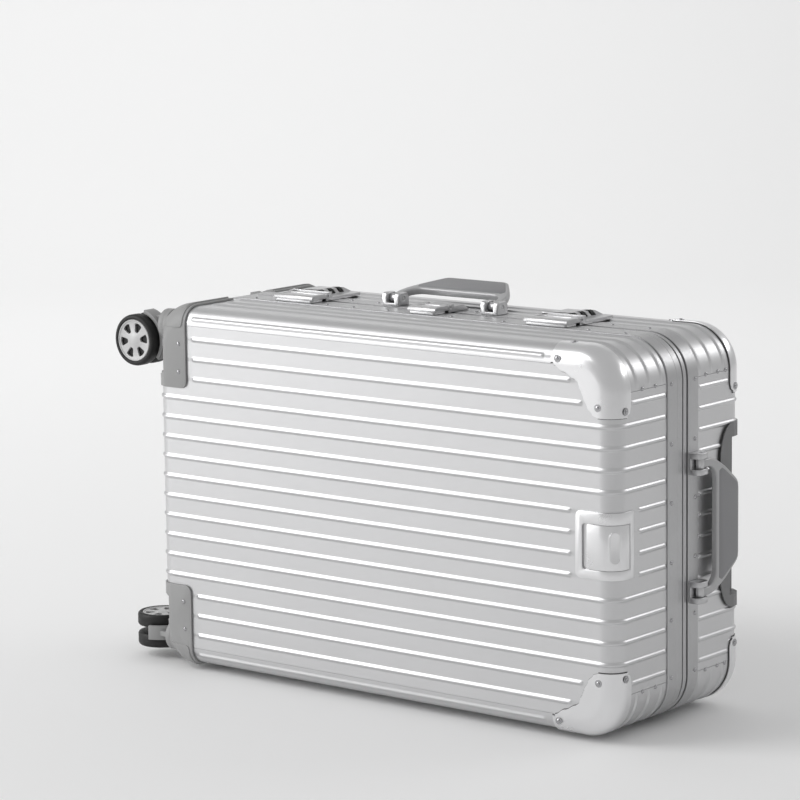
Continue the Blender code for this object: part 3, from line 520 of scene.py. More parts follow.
def corner_cap(name, side, upper, grow=0.0, lift=0.3, thickness=1.7):
    """The guard, or with its outline grown and a thinner wall, the dark sheet under its edge that paints the
    shade of the crease round it.
    """
    rows, last = [], Y_FACE - EDGE_R - 0.1
    for i in range(91):
        share = i / 90 - math.sin(4 * math.pi * i / 90) / (4 * math.pi) * 0.6
        t = (GUARD_LENGTH + 2 * grow) * share - grow
        x, z, nx, nz = guard_station(t)
        row = []
        back = Y_FACE - 28.0 + blend_between(GUARD_BACK, t) - grow
        reach = blend_between(GUARD_REACH, t) + grow
        for k in range(5):
            row.append((x + nx * lift, side * (back + (last - back) * k / 4), z + nz * lift))
        for k in range(17):
            a = math.radians(90 * k / 16)
            d = (EDGE_R + lift) * math.cos(a) - EDGE_R
            row.append((x + nx * d, side * (Y_FACE - EDGE_R + (EDGE_R + lift) * math.sin(a)), z + nz * d))
        for k in range(1, 5):
            d = -EDGE_R - (reach - EDGE_R) * k / 4
            row.append((x + nx * d, side * (Y_FACE + lift), z + nz * d))
        rows.append(row if upper else [(a, b, 2 * Z_MID - c) for a, b, c in row])
    cap = facing(surface(name, rows), (1, side, 1 if upper else -1))
    modify(cap, "SOLIDIFY", thickness=thickness * MM, offset=1.0)
    modify(cap, "BEVEL", width=thickness * 0.3 * MM, segments=2, limit_method="ANGLE",
           angle_limit=math.radians(60))
    return smooth(cap, 40)


for half, side, body in (("lid", -1, "lid"), ("rear", 1, "rear_case")):
    for place, upper in (("top", True), ("bottom", False)):
        cap = corner_cap(f"{half}_{place}_corner_cap", side, upper)
        hand_over(cap, bright_cap_metal, body, "shell_aluminium", f"{half}_{place}_guard")
        # A grown, thinner copy in dark grey paints the shade of the crease round the guard's edge.
        guard_shade_sheet = corner_cap(f"{half}_{place}_guard_seal", side, upper, 0.9, 0.25, 0.45)
        hand_over(guard_shade_sheet, painted_shade_grey, body, "shell_aluminium")

# ---- Rivets -------------------------------------------------------------------
# Domed steel rivets hold the rails, the seams of the sheets and the guards. The guards' rivets sit on
# washers. They are small lathe-turned shapes, copied along each row.

RIVET_PROFILE = ((2.6, 0.0), (2.5, 0.45), (2.0, 1.0), (1.1, 1.35), (0.0, 1.45))
WASHER_PROFILE = ((4.6, 0.0), (4.5, 0.35), (3.0, 0.45), (2.4, 0.45), (2.3, 1.0), (1.5, 1.5), (0.0, 1.65))


def studs(name, profile, spots):
    """Joins one turned head at each (x, y, z, normal), standing on the surface there."""
    rows, faces, points = 14, [], []
    for x, y, z, normal in spots:
        out = Vector(normal).normalized()
        across = out.orthogonal().normalized()
        up = out.cross(across)
        start = len(points)
        for r, h in profile[:-1]:
            for i in range(rows):
                a = 2 * math.pi * i / rows
                point = Vector((x + MIDDLE_X, y, z)) + across * r * math.cos(a) + up * r * math.sin(a) + out * h
                points.append(point * MM)
        points.append((Vector((x + MIDDLE_X, y, z)) + out * profile[-1][1]) * MM)
        for j in range(len(profile) - 2):
            low, high = start + j * rows, start + (j + 1) * rows
            faces += [(low + i, low + (i + 1) % rows, high + (i + 1) % rows, high + i) for i in range(rows)]
        last = start + (len(profile) - 2) * rows
        faces += [(last + i, last + (i + 1) % rows, len(points) - 1) for i in range(rows)]
        faces.append(tuple(start + i for i in reversed(range(rows))))
    return smooth(face_outwards(mesh_object(name, points, faces)), 35)


# Nickel-plated steel: harder and shinier than the sheet, so each head shows a dark and a bright side.
plated_steel = finish_of("nickel_plated_steel_heads", "#B8B8BA", "#A4A4A6", 1.0, 0.2, 0.3, 1.0, 0.01)
GUARD_SKIN, RAIL_SKIN = 1.95, 1.8  # how far the guards' and the rails' outsides stand off the sheet
GUARD_FACE_SPOTS = ((271.0, 446.0), (327.0, 394.0))
RAIL_TOP_X = (-276.0, -160.0, -118.0, -64.0, 34.0, 112.0, 236.0, 288.0)
RAIL_END_Z = (409.0, 339.0, 270.0, 200.0, 132.0, 63.5)
for half, side, body, rail_y, seam_y in (("lid", -1, "lid", 20.7, (51.0, 77.0)),
                                         ("rear", 1, "rear_case", 28.0, (52.7, 78.0, 94.0))):
    small, washers = [], []
    for flip in (False, True):
        def at(z):
            return 2 * Z_MID - z if flip else z
        out = -1 if flip else 1
        washers += [(x, side * (Y_FACE + GUARD_SKIN), at(z), (0, side, 0)) for x, z in GUARD_FACE_SPOTS]
        washers += [(X_END + GUARD_SKIN, side * 112.5, at(389.5), (1, 0, 0)),
                    (278.0, side * 108.0, at(Z_HIGH + GUARD_SKIN), (0, 0, out))]
        small += [(X_END, side * y, at(410.8), (1, 0, 0)) for y in seam_y if y < 90 or side > 0]
        small += [(-X_END, side * y, at(410.8), (-1, 0, 0)) for y in seam_y if y < 60]
        small += [(x, side * rail_y, at(Z_HIGH + RAIL_SKIN), (0, 0, out)) for x in RAIL_TOP_X]
        if side > 0:
            small += [(X_END, 39.0, at(z), (1, 0, 0)) for z in (247.0, 271.0)]
    for end in (-1, 1):
        small += [(end * (X_END + RAIL_SKIN), side * rail_y, z, (end, 0, 0)) for z in RAIL_END_Z]
    hand_over(studs(f"{half}_rivets", RIVET_PROFILE, small), plated_steel, body, "fitting_metal")
    hand_over(studs(f"{half}_guard_rivets", WASHER_PROFILE, washers), plated_steel, body, "fitting_metal")

# ---- Luggage hook -------------------------------------------------------------
# A frame of pressed aluminium wraps the lid's upright edge. The hook folds out of its pocket on a pin
# at the end face, and a slot at its free edge takes a finger.


def filled(name, outline, low, high, axis):
    """A prism over a flat outline, between two planes across the given axis, in millimetres."""
    def at(pair, c):
        point = list(pair)
        point.insert(axis, c)
        return (point[0] + MIDDLE_X) * MM, point[1] * MM, point[2] * MM
    n = len(outline)
    points = [at(p, low) for p in outline] + [at(p, high) for p in outline]
    faces = [tuple(range(n)), tuple(range(2 * n - 1, n - 1, -1))]
    faces += [(i, n + i, n + (i + 1) % n, (i + 1) % n) for i in range(n)]
    return face_outwards(mesh_object(name, points, faces))


SQUARE = (0, 0, 0, 0)


def rounded(x0, x1, z0, z1, radii, steps=6):
    """A rectangle whose corners (low-low, high-low, high-high, low-high) are rounded by radii."""
    outline = []
    corners = ((x0, z0, 1, 1, 180), (x1, z0, -1, 1, 270), (x1, z1, -1, -1, 0), (x0, z1, 1, -1, 90))
    for (x, z, sx, sz, start), r in zip(corners, radii):
        if r == 0:
            outline.append((x, z))
            continue
        for i in range(steps + 1):
            a = math.radians(start + 90 * i / steps)
            outline.append((x + sx * r + r * math.cos(a), z + sz * r + r * math.sin(a)))
    return outline


def case_block(side, offset):
    """Half of the case's outside, grown by an offset, as one closed block."""
    rings = []
    for i in range(13):
        a = math.radians(90 * i / 12)
        d, y = (EDGE_R + offset) * math.sin(a) - EDGE_R, Y_FACE - EDGE_R + (EDGE_R + offset) * math.cos(a)
        rings.append([((x + nx * d + MIDDLE_X) * MM, side * y * MM, (z + nz * d) * MM)
                      for x, z, nx, nz in ring_path(12)])
    rings.append([(x, -side * 4 * MM, z) for x, _, z in rings[-1]])
    n = len(rings[0])
    points = [p for ring in rings for p in ring]
    faces = [(j * n + i, j * n + (i + 1) % n, (j + 1) * n + (i + 1) % n, (j + 1) * n + i)
             for j in range(len(rings) - 1) for i in range(n)]
    faces += [tuple(range(n)), tuple(range(len(points) - 1, len(points) - n - 1, -1))]
    return face_outwards(mesh_object("case_block", points, faces))


def skin_over(name, side, outline, axis, low, high, lift, under):
    """The part of the case's outside between two offsets that lies inside a prism."""
    piece = filled(name, outline, low, high, axis)
    carve(piece, "INTERSECT", case_block(side, lift))
    return carve(piece, "DIFFERENCE", case_block(side, under))


def soften(piece, width, segments=2, angle=40):
    modify(piece, "BEVEL", width=width * MM, segments=segments, limit_method="ANGLE",
           angle_limit=math.radians(angle))
    return smooth(piece, 35)


RING_Z, RING_X, RING_Y, RING_TURN = 233.5, 341.0, -121.5, 52.0
hook_frame = skin_over("hook_frame", -1, rounded(295.5, 360.0, 196.0, 274.0, (7, 0, 0, 7)), 1,
                       -136.0, -97.9, 2.6, 0.3)
hook_pocket = filled("pocket", rounded(305.0, 366.0, 207.0, 260.0, (4, 0, 0, 4)), -140.0, -104.5, 1)
carve(hook_frame, "DIFFERENCE", hook_pocket)
hand_over(soften(hook_frame, 0.6), bright_cap_metal, "lid", "shell_aluminium", "hook_plate")
hook = skin_over("folding_hook", -1, rounded(311.5, 360.0, 207.4, 259.6, (2.5, 0, 0, 2.5)), 1,
                 -136.0, -105.9, 2.3, 0.6)
# A raised ring round the finger slot, cut out of a stadium tube that crosses the shell's edge.
stadium = rounded(-7.0, 7.0, -19.0, 19.0, (7, 7, 7, 7), 8)
ring = filled("hook_ring", [(a, RING_Z + b) for a, b in stadium], -60.0, 60.0, 1)
ring_inner = filled("ring_inner", [(a * 0.78, RING_Z + b * 0.92) for a, b in stadium], -70.0, 70.0, 1)
carve(ring, "DIFFERENCE", ring_inner)
ring.data.transform(Matrix.Translation(((RING_X + MIDDLE_X) * MM, RING_Y * MM, 0))
                    @ Matrix.Rotation(math.radians(RING_TURN), 4, "Z")
                    @ Matrix.Translation((-MIDDLE_X * MM, 0, 0)))
carve(ring, "INTERSECT", case_block(-1, 3.1))
carve(ring, "DIFFERENCE", case_block(-1, 1.2))
keep_side = filled("keep_side", rounded(300.0, 370.0, 200.0, 270.0, SQUARE), -140.0, -106.5, 1)
carve(ring, "INTERSECT", keep_side)
carve(hook, "UNION", ring)
hand_over(soften(hook, 0.4), bright_cap_metal, "hook_flap", "shell_aluminium", "hook_flap")

# ---- Caster housings ------------------------------------------------------------
# Glass-filled nylon mouldings let into the four wheel-end corners. Each wraps the corner, carries the
# swivel in the wall of its recess, and is screwed on through its skin.

# Moulded nylon with a spark-eroded texture: mid grey, dull, with a fine even tooth.
textured_nylon = finish_of("grey_textured_nylon", "#9C9C9C", "#949494", 0.0, 0.46, 0.58, 0.9, 0.06)
SWIVEL_Y, SWIVEL_Z, RECESS_X, WHEEL_X, TRAIL = 102.0, 434.0, -341.0, -393.0, 22.0
# Outlines as (x, z) of the foot under the recess, and as (x, y) of the post where its wall meets the skin.
HOUSING_FOOT = [(-356.0, 360.3), (-320.0, 360.3), (-320.0, 377.8), (-334.4, 377.8), (-340.0, 375.8),
                (-345.0, 375.0), (-356.0, 368.0)]
RECESS_CORNER = [(-340.7, 116.0), (-340.7, 118.5), (-335.4, 129.0), (-335.0, 140.0), (-330.0, 140.0),
                 (-330.0, 126.0), (-337.0, 114.0)]
HOUSING_SKIN, HOUSING_SCREWS = 2.5, ((-307.8, 415.7), (-308.7, 380.5))


def drum(name, axis, centre, radius, low, high, steps=40):
    outline = [(centre[0] + radius * math.cos(2 * math.pi * i / steps),
                centre[1] + radius * math.sin(2 * math.pi * i / steps)) for i in range(steps)]
    return filled(name, outline, low, high, axis)


def mirror_z(piece, upper):
    """Turns a piece made for an upper corner into its mate for the lower one."""
    if not upper:
        piece.data.transform(Matrix.Translation((0, 0, 2 * Z_MID * MM)) @ Matrix.Scale(-1, 4, (0, 0, 1)))
        face_outwards(piece)
    return piece


for half, side, body in (("lid", -1, "lid"), ("rear", 1, "rear_case")):
    near, far = sorted((side * 40.0, side * 140.0))
    for place, upper in (("top", True), ("bottom", False)):
        housing = skin_over(f"caster_housing_{half}_{place}", side,
                            rounded(-334.5, -297.0, 360.0, 470.0, (0, 9, 0, 0)), 1, near, far,
                            HOUSING_SKIN, 0.3)
        block = filled("inboard", rounded(-400.0, -200.0, 300.0, 436.0, SQUARE), *sorted((0.0, side * 100.0)), 1)
        carve(housing, "DIFFERENCE", block)
        foot = skin_over("foot", side, HOUSING_FOOT, 1, *sorted((side * 112.0, side * 140.0)), 2.35, 0.4)
        cheek = skin_over("cheek", side, rounded(-336.0, -301.0, 436.5, 470.0, (0, 6, 0, 0)), 1,
                          *sorted((side * 106.0, side * 140.0)), 3.6, 0.8)
        cap = skin_over("cap", side, rounded(RECESS_X + 0.6, -303.0, 430.0, 470.0, SQUARE), 1,
                        *sorted((side * 43.0, side * 122.0)), 4.2, 1.2)
        wall = skin_over("wall", side, rounded(RECESS_X + 0.3, RECESS_X + 3.0, 376.5, 470.0, SQUARE), 1,
                         *sorted((side * 62.5, side * 118.0)), 1.5, -60.0)
        corner = filled("corner", [(x, side * y) for x, y in RECESS_CORNER], 376.2, 470.0, 2)
        carve(corner, "INTERSECT", case_block(side, 2.3))
        ledge = skin_over("ledge", side, rounded(-356.0, -318.0, 374.6, 377.2, SQUARE), 1,
                          *sorted((side * 60.5, side * 140.0)), 1.0, -40.0)
        boss = drum("boss", 0, (side * SWIVEL_Y, SWIVEL_Z), 19.5, RECESS_X - 4.0, RECESS_X + 1.6)
        carve(housing, "UNION", foot, cheek, cap, wall, corner, ledge, boss)
        carve(housing, "DIFFERENCE", drum("bore", 0, (side * SWIVEL_Y, SWIVEL_Z), 4.15, -400.0, -300.0, 20))
        mirror_z(soften(housing, 0.9), upper)
        hand_over(housing, textured_nylon, body, "caster_plastic", f"caster_bracket_{half}_{place}")
        spots = [(x, side * (Y_FACE + HOUSING_SKIN), z if upper else 2 * Z_MID - z, (0, side, 0))
                 for x, z in HOUSING_SCREWS]
        screws = studs(f"caster_screws_{half}_{place}", RIVET_PROFILE, spots)
        hand_over(screws, plated_steel, body, "fitting_metal")

# ---- Casters ----------------------------------------------------------------------
# Each caster is a nylon fork on a steel stem with two wheels on one axle. Every wheel is a moulded hub
# with six windows, painted silver, inside a polyurethane tyre.

# Black polyurethane: dull on the tread with faint scuffs.
black_tyre = finish_of("black_polyurethane_tyre", "#0C0C0C", "#161616", 0.0, 0.5, 0.62, 1.5, 0.03)
# Silver-painted ABS: fine metallic flake under a satin top coat.
hub_paint = finish_of("silver_painted_hub", "#C4C4C4", "#B8B8B8", 0.3, 0.42, 0.5, 0.8, 0.01)
# Half sections as (radius, distance from the middle of the pair).
TYRE = ((26.0, 4.2), (29.0, 4.2), (31.4, 5.0), (32.5, 7.0), (32.5, 17.4), (31.9, 19.6), (30.4, 21.0),
        (28.6, 21.4), (27.2, 21.0), (26.8, 20.0), (26.0, 20.0))
HUB = ((0.0, 17.2), (26.4, 17.2), (26.4, 20.2), (25.8, 20.9), (24.8, 20.9), (24.1, 20.0), (8.4, 20.0),
       (7.2, 20.5), (0.0, 20.7))
# One window as (radius, angle from its middle in radians).
HUB_WINDOW = ((11.0, -0.2), (13.6, -0.25), (21.0, -0.28), (22.2, -0.2), (22.6, 0.0), (22.2, 0.2), (21.0, 0.28),
              (13.6, 0.25), (11.0, 0.2), (10.4, 0.0))
HUB_BACK = ((0.0, 4.2), (26.3, 4.2), (26.3, 16.9), (0.0, 16.9))


def lathe(name, centre, out, profile, steps=56):
    """Turns (radius, y) pairs round an axis along Y through (x, z)."""
    loop = list(profile) + ([profile[0]] if profile[0][0] > 0 else [])
    rows = []
    for i in range(steps):
        a = 2 * math.pi * i / steps
        rows.append([(centre[0] + r * math.cos(a), out(y), centre[1] + r * math.sin(a)) for r, y in loop])
    return face_outwards(surface(name, rows, closed=True))


def swing(piece, swivel, turn):
    """Turns a caster piece round its swivel, which runs along X."""
    point = Vector((0.0, swivel[0], swivel[1])) * MM
    piece.data.transform(Matrix.Translation(point) @ Matrix.Rotation(math.radians(turn), 4, "X")
                         @ Matrix.Translation(-point))
    return piece


def joined(name, pieces):
    bpy.ops.object.select_all(action="DESELECT")
    for piece in pieces:
        piece.select_set(True)
    bpy.context.view_layer.objects.active = pieces[0]
    bpy.ops.object.join()
    pieces[0].name = name
    return pieces[0]


for side, half in ((-1, "lid"), (1, "rear")):
    for place, swivel_z, turn in (("top", SWIVEL_Z, 0.0), ("bottom", 2 * Z_MID - SWIVEL_Z, -90.0 * side)):
        tag, y, axle_z = f"{half}_{place}", side * SWIVEL_Y, swivel_z - TRAIL
        hub_x = RECESS_X - 4.4
        fork = drum(f"caster_fork_body_{tag}", 0, (y, swivel_z), 19.3, hub_x - 7.0, hub_x)
        web = filled("web", [(hub_x - 2, swivel_z + 14), (hub_x - 2, swivel_z - 30), (WHEEL_X + 6, axle_z - 12),
                             (WHEEL_X - 8, axle_z - 6), (WHEEL_X - 8, axle_z + 8), (WHEEL_X + 14, axle_z + 29)],
                     y - 3.0, y + 3.0, 1)
        arc = [math.radians(-38 + 116 * i / 12) for i in range(13)]
        band = [(38.5, a) for a in arc] + [(34.0, a) for a in reversed(arc)]
        hood = filled("hood", [(WHEEL_X + r * math.cos(a), axle_z + r * math.sin(a)) for r, a in band],
                      y - 9.0, y + 9.0, 1)
        stem = drum("stem", 0, (y, swivel_z), 4.0, hub_x - 1.0, RECESS_X + 8.0, 24)
        carve(fork, "UNION", web, hood, stem)
        carve(fork, "DIFFERENCE", drum("axle_bore", 1, (WHEEL_X, axle_z), 3.7, y - 30.0, y + 30.0, 24))
        swing(soften(fork, 0.8), (y, swivel_z), turn)
        hand_over(fork, textured_nylon, f"fork_{tag}", "caster_plastic", f"caster_fork_{tag}")
        tyres, hubs, backs = [], [], []
        for out in (-1, 1):
            def along(d):
                return y + out * d
            tyres.append(lathe("tyre", (WHEEL_X, axle_z), along, TYRE))
            hub = lathe("hub", (WHEEL_X, axle_z), along, HUB)
            for i in range(6):
                a = math.radians(60 * i + 8)
                wedge = [(WHEEL_X + r * math.cos(a + da), axle_z + r * math.sin(a + da)) for r, da in HUB_WINDOW]
                carve(hub, "DIFFERENCE", filled("window", wedge, *sorted((y + out * 7.0, y + out * 30.0)), 1))
            hubs.append(soften(hub, 0.35, 2, 50))
            backs.append(lathe("hub_back", (WHEEL_X, axle_z), along, HUB_BACK))
        axle = drum("axle", 1, (WHEEL_X, axle_z), 3.5, y - 10.0, y + 10.0, 24)
        tyre = joined(f"caster_tyres_{tag}", tyres + backs + [axle])
        hub = joined(f"caster_hubs_{tag}", hubs)
        for piece in (tyre, hub):
            swing(piece, (y, swivel_z), turn)
        hand_over(smooth(tyre, 35), black_tyre, f"wheels_{tag}", "tyre_black", f"caster_wheels_{tag}")
        hand_over(hub, hub_paint, f"wheels_{tag}", "caster_plastic", f"caster_wheels_{tag}")

# ---- Handles --------------------------------------------------------------------
# Two handles of one pattern: one grey nylon moulding, drawn as a lighter frame that paints the light on its
# edges and arms, with a darker pad let into it that paints the shade on the grip's face. It rides on two lugs
# that pivot in clevis blocks of cast zinc, screwed through the rails.

# The pad's darker grey is painted shade on the grip's face: even, with a broad, weak sheen.
face_shade_grey = finish_of("handle_face_painted_shade_grey", "#8A8A8C", "#828284", 0.0, 0.5, 0.6, 1.2, 0.03)
# The frame of the grip is the same grey moulding painted lighter, for the light on its rounded edges and arms,
# with a metallic sheen.
edge_light_grey = finish_of("handle_edge_painted_light_grey", "#B4B4B5", "#ABABAC", 0.45, 0.36, 0.44, 1.0, 0.02)
HANDLE_PAD = ((64.0, 31.4), (66.8, 37.0), (62.5, 44.0), (50.2, 60.6), (46.8, 65.0), (43.2, 67.4), (39.0, 67.9))
# Die-cast zinc, satin nickel plated: brighter than the sheet, with soft tool marks.
cast_nickel = finish_of("satin_nickel_casting", "#C9C9CA", "#BDBDBE", 1.0, 0.28, 0.38, 2.0, 0.02)
TOP_X, PIVOT_LIFT, PIVOT_Y, PIVOT_SPAN = -12.0, 11.0, 24.5, 76.0
HANDLE_PLACES = (("carry", Matrix.Translation((TOP_X * MM, PIVOT_Y * MM, (Z_HIGH + PIVOT_LIFT) * MM)), 13.0),
                 ("end", Matrix.Translation(((X_END + PIVOT_LIFT) * MM, PIVOT_Y * MM, Z_MID * MM))
                  @ Matrix.Rotation(math.radians(90), 4, "Y"), 3.0))
HANDLE_LOOP = ((81.2, 1.0), (81.2, 14.0), (80.2, 19.0), (77.5, 27.0), (73.0, 35.5), (67.0, 45.0), (53.0, 63.0),
               (49.0, 67.6), (44.5, 70.3), (39.0, 71.0))
CLEVIS_SIDE = [(-11.0, -8.9), (10.5, -8.9), (10.5, 1.5), (9.0, 5.0), (6.0, 7.0), (-6.5, 7.0), (-9.5, 5.4),
               (-11.0, 2.0)]
HANDLE_INSIDE = ((70.8, 1.0), (70.8, 13.0), (69.6, 17.5), (67.0, 21.5), (62.0, 25.8), (57.5, 27.6), (53.0, 28.0))
for tag, place, lift in HANDLE_PLACES:
    loop = list(HANDLE_LOOP) + [(-x, r) for x, r in reversed(HANDLE_LOOP)] + [(-x, r) for x, r in HANDLE_INSIDE]
    loop += [(x, r) for x, r in reversed(HANDLE_INSIDE)]
    grip = filled(f"{tag}_handle_grip", [(x - MIDDLE_X, r) for x, r in loop], -4.6, 4.6, 2)
    soften(grip, 2.6, 5, 50)
    eyes = []
    for x in (-PIVOT_SPAN, PIVOT_SPAN):
        eyes += [drum("eye", 0, (0.0, 0.0), 5.0, x - 5.6 - MIDDLE_X, x + 5.6 - MIDDLE_X, 32),
                 drum("pin", 0, (0.0, 0.0), 2.4, x - 12.5 - MIDDLE_X, x + 12.5 - MIDDLE_X, 20)]
    for eye in eyes:
        soften(eye, 0.4)
    eyes = joined(f"{tag}_handle_eyes", eyes)
    pad = list(HANDLE_PAD) + [(-x, r) for x, r in reversed(HANDLE_PAD)]
    pad = soften(filled(f"{tag}_handle_shade_pad", [(x - MIDDLE_X, r) for x, r in pad], -5.0, 5.0, 2), 0.7)
    for piece in (grip, pad, eyes):
        piece.data.transform(Matrix.Translation((MIDDLE_X * MM, 0, 0)) @ place
                             @ Matrix.Rotation(math.radians(lift), 4, "X"))
    # The frame's lighter grey paints the light on the edges and arms; the pad's darker grey paints the shade on
    # the face.
    hand_over(grip, edge_light_grey, f"{tag}_handle", "handle_grip", f"{tag}_handle")
    hand_over(pad, face_shade_grey, f"{tag}_handle", "handle_grip", f"{tag}_handle")
    hand_over(eyes, cast_nickel, f"{tag}_handle", "fitting_metal", f"{tag}_handle")
    for letter, x in (("a", -PIVOT_SPAN), ("b", PIVOT_SPAN)):
        block = filled(f"{tag}_clevis_{letter}", CLEVIS_SIDE, x - 13.0 - MIDDLE_X, x + 13.0 - MIDDLE_X, 0)
        slot = filled("slot", rounded(-20.0, 20.0, -5.5, 12.0, SQUARE), x - 6.0 - MIDDLE_X, x + 6.0 - MIDDLE_X, 0)
        bore = drum("bore", 0, (0.0, 0.0), 2.5, x - 20.0 - MIDDLE_X, x + 20.0 - MIDDLE_X, 20)
        carve(block, "DIFFERENCE", slot, bore)
        soften(block, 0.9, 3)
        block.data.transform(Matrix.Translation((MIDDLE_X * MM, 0, 0)) @ place)
        hand_over(block, cast_nickel, "rear_case", "fitting_metal", f"{tag}_handle_block_{letter}")

# ---- Latches --------------------------------------------------------------------
# Three over-centre latches close the rails. The outer two have a combination block with three number
# wheels behind windows; the middle one is plain. Castings, with steel pins.

BASE_Z, LEVER_Y, LEVER_Z = Z_HIGH + 2.1, 6.2, Z_HIGH + 8.0
OUTER_LATCHES = (("left", -212.0), ("right", 176.0))
DIAL_OFFSET, DIAL_ROWS, DIAL_Z = 9.0, (18.5, 35.0, 51.5), Z_HIGH + 8.3
# Moulded black acetal number wheel, drawn plain, without its figures.
dial_black, dial_shader = new_material("black_acetal_number_wheel", "#0C0C0C", 0.0, 0.6)
dial_place = add_node(dial_black, "ShaderNodeTexCoord")
dial_noise = add_node(dial_black, "ShaderNodeTexNoise", {"Scale": 900.0}, {"Vector": (dial_place, "Object")})
dial_tone = add_node(dial_black, "ShaderNodeMix", {"data_type": "RGBA"}, {0: (dial_noise, "Fac")})
dial_tone.inputs[6].default_value, dial_tone.inputs[7].default_value = linear("#0A0A0A"), linear("#161616")
dial_black.node_tree.links.new(dial_tone.outputs[2], dial_shader.inputs["Base Color"])

latches = [(tag, centre, 62.0, 70.0, Z_HIGH + 12.5) for tag, centre in OUTER_LATCHES]
for tag, centre, width, back, top in latches + [("centre", TOP_X + 3.0, 42.0, 42.0, Z_HIGH + 9.0)]:
    x0, x1 = centre - width / 2, centre + width / 2
    side_view = [(10.2, BASE_Z), (back, BASE_Z), (back, top - 6.0), (back - 9.0, top - 0.6), (back - 12.0, top),
                 (10.2, top)]
    housing = filled(f"latch_housing_{tag}", side_view, x0, x1, 0)
    ears = [filled("ear", rounded(2.3, 13.0, BASE_Z, Z_HIGH + 11.9, (0, 0, 0, 3.9)), a, a + 5.0, 0)
            for a in (x0, x1 - 5.0)]
    carve(housing, "UNION", *ears)
    carve(housing, "DIFFERENCE", drum("bore", 0, (LEVER_Y, LEVER_Z), 1.35, x0 - 5, x1 + 5, 16))
    if tag != "centre":
        dial_x = centre + DIAL_OFFSET
        for y in DIAL_ROWS:
            window = rounded(dial_x - 6.5, dial_x + 6.9, y - 5.0, y + 5.0, (1, 1, 1, 1), 3)
            carve(housing, "DIFFERENCE", filled("window", window, BASE_Z + 0.9, 490.0, 2))
        carve(housing, "DIFFERENCE", drum("spindle", 1, (dial_x, DIAL_Z), 1.5, 12.2, 59.5, 16))
        slope = [(dial_x + 1.5, top + 0.1), (dial_x + 7.4, top - 5.8), (x1 + 5.0, top - 6.6), (x1 + 5.0, 490.0),
                 (dial_x + 1.5, 490.0)]
        carve(housing, "DIFFERENCE", filled("slope", slope, 14.0, 100.0, 1))
        step = rounded(x0 - 5, dial_x - 11.0, 14.0, 100.0, SQUARE)
        carve(housing, "DIFFERENCE", filled("step", step, top - 2.2, 490.0, 2))
    hand_over(soften(housing, 0.7, 3, 30), cast_nickel, "rear_case", "fitting_metal", f"latch_body_{tag}")
    profile = [(-25.5, Z_HIGH + 5.4), (1.8, Z_HIGH + 5.4), (1.8, Z_HIGH + 11.0), (-20.0, Z_HIGH + 11.0),
               (-24.0, Z_HIGH + 9.6), (-25.5, Z_HIGH + 7.4)]
    lever = filled(f"latch_lever_casting_{tag}", profile, x0, x1, 0)
    neck = filled("neck", rounded(-2.8, 7.2, Z_HIGH + 5.9, Z_HIGH + 10.5, SQUARE), x0 + 5.4, x1 - 5.4, 0)
    carve(lever, "UNION", neck, drum("eye", 0, (LEVER_Y, LEVER_Z), 2.8, x0 + 5.4, x1 - 5.4, 24),
          drum("pin", 0, (LEVER_Y, LEVER_Z), 1.2, x0 + 1.0, x1 - 1.0, 16))
    carve(lever, "DIFFERENCE", filled("finger_dish", rounded(x0 + 7.0, x1 - 7.0, -17.0, -3.0, (3, 3, 3, 3), 4),
                                      Z_HIGH + 10.3, 490.0, 2))
    hand_over(soften(lever, 0.8, 3, 30), cast_nickel, f"latch_lever_{tag}", "fitting_metal", f"latch_lever_{tag}")
    strike = filled(f"latch_strike_plate_{tag}", rounded(x0 + 1, x1 - 1, -25.0, -2.0, (3, 3, 3, 3), 4), BASE_Z,
                    Z_HIGH + 5.1, 2)
    hand_over(soften(strike, 0.6, 3), cast_nickel, "lid", "fitting_metal", f"latch_strike_{tag}")
# A black shroud fills each window round its wheel.
for tag, centre in OUTER_LATCHES:
    shrouds, dial_x = [], centre + DIAL_OFFSET
    profile = [(dial_x - 6.4, BASE_Z + 0.9), (dial_x + 6.8, BASE_Z + 0.9), (dial_x + 6.8, Z_HIGH + 6.2),
               (dial_x + 1.2, Z_HIGH + 11.8), (dial_x - 6.4, Z_HIGH + 11.8)]
    for y in DIAL_ROWS:
        shrouds.append(filled("shroud", profile, y - 4.9, y + 4.9, 1))
        carve(shrouds[-1], "DIFFERENCE", drum("room", 1, (dial_x, DIAL_Z), 5.25, y - 3.0, y + 3.0),
              drum("spindle", 1, (dial_x, DIAL_Z), 1.6, y - 9.0, y + 9.0, 16))
    hand_over(joined(f"dial_shroud_{tag}", shrouds), dial_black, "rear_case", "fitting_metal")
for row in frame["record"]["subparts"]:
    if row["node"].startswith("latch_dial"):
        for slot in frame["nodes"][row["node"]].material_slots:
            slot.material = dial_black

# ---- Telescopic handle ------------------------------------------------------------
# A moulded pocket fills the rear half's edge at the handle end. The grip lies in it, on two aluminium
# tubes that slide in channels behind the lining. These pieces keep their CAD shapes.

# Injection-moulded ABS: near black, satin, with a very fine texture.
dark_abs = finish_of("dark_grey_moulded_abs", "#4A4A4B", "#424243", 0.0, 0.42, 0.54, 1.0, 0.04)
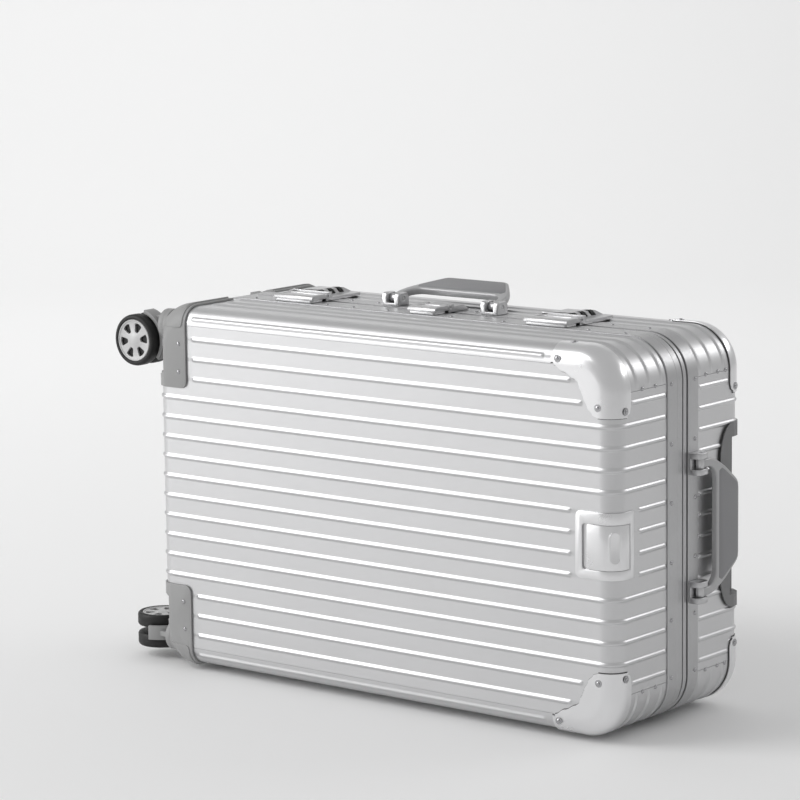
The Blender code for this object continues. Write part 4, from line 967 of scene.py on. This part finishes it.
# The same ABS in a lighter grey, for the pocket.
grey_abs = finish_of("mid_grey_moulded_abs", "#7C7C7D", "#747475", 0.0, 0.42, 0.54, 1.0, 0.04)
TROLLEY_FINISHES = {"trolley_housing": grey_abs, "trolley_grip": dark_abs, "trolley_stage": rail_metal,
                    "trolley_button": textured_nylon}

# ---- Linings, hinge and feet --------------------------------------------------------
# Woven polyester on card lines both halves; a steel piano hinge joins the rails below; four rubber feet
# carry the case when it lies on its side.

lining_cloth, lining_shader = new_material("black_woven_polyester_lining", "#2A2A2C", 0.0, 0.85)
cloth_place = add_node(lining_cloth, "ShaderNodeTexCoord")
# Threads are drawn 2 mm apart, coarser than the real 0.4 mm, so that the weave shows.
warp = add_node(lining_cloth, "ShaderNodeTexWave", {"Scale": 500 / 6.283, "bands_direction": "X"},
                {"Vector": (cloth_place, "Object")})
weft = add_node(lining_cloth, "ShaderNodeTexWave", {"Scale": 500 / 6.283, "bands_direction": "Z"},
                {"Vector": (cloth_place, "Object")})
weave = add_node(lining_cloth, "ShaderNodeMath", {"operation": "MAXIMUM"}, {0: (warp, "Fac"), 1: (weft, "Fac")})
cloth_tone = add_node(lining_cloth, "ShaderNodeMix", {"data_type": "RGBA"}, {0: (weave, "Value")})
cloth_tone.inputs[6].default_value, cloth_tone.inputs[7].default_value = linear("#222224"), linear("#38383B")
cloth_relief = add_node(lining_cloth, "ShaderNodeBump", {"Strength": 0.5, "Distance": 0.0003},
                        {"Height": (weave, "Value")})
lining_cloth.node_tree.links.new(cloth_tone.outputs[2], lining_shader.inputs["Base Color"])
lining_cloth.node_tree.links.new(cloth_relief.outputs["Normal"], lining_shader.inputs["Normal"])
# Moulded rubber: black and dull.
foot_rubber = finish_of("black_moulded_rubber", "#141414", "#1E1E1E", 0.0, 0.65, 0.75, 2.0, 0.03)
carried = {"lining": lining_cloth, "foot": foot_rubber, "hinge": cast_nickel, **TROLLEY_FINISHES}
for row in frame["record"]["subparts"]:
    for part_of_name, material in carried.items():
        if part_of_name in row["node"]:
            for slot in frame["nodes"][row["node"]].material_slots:
                slot.material = material
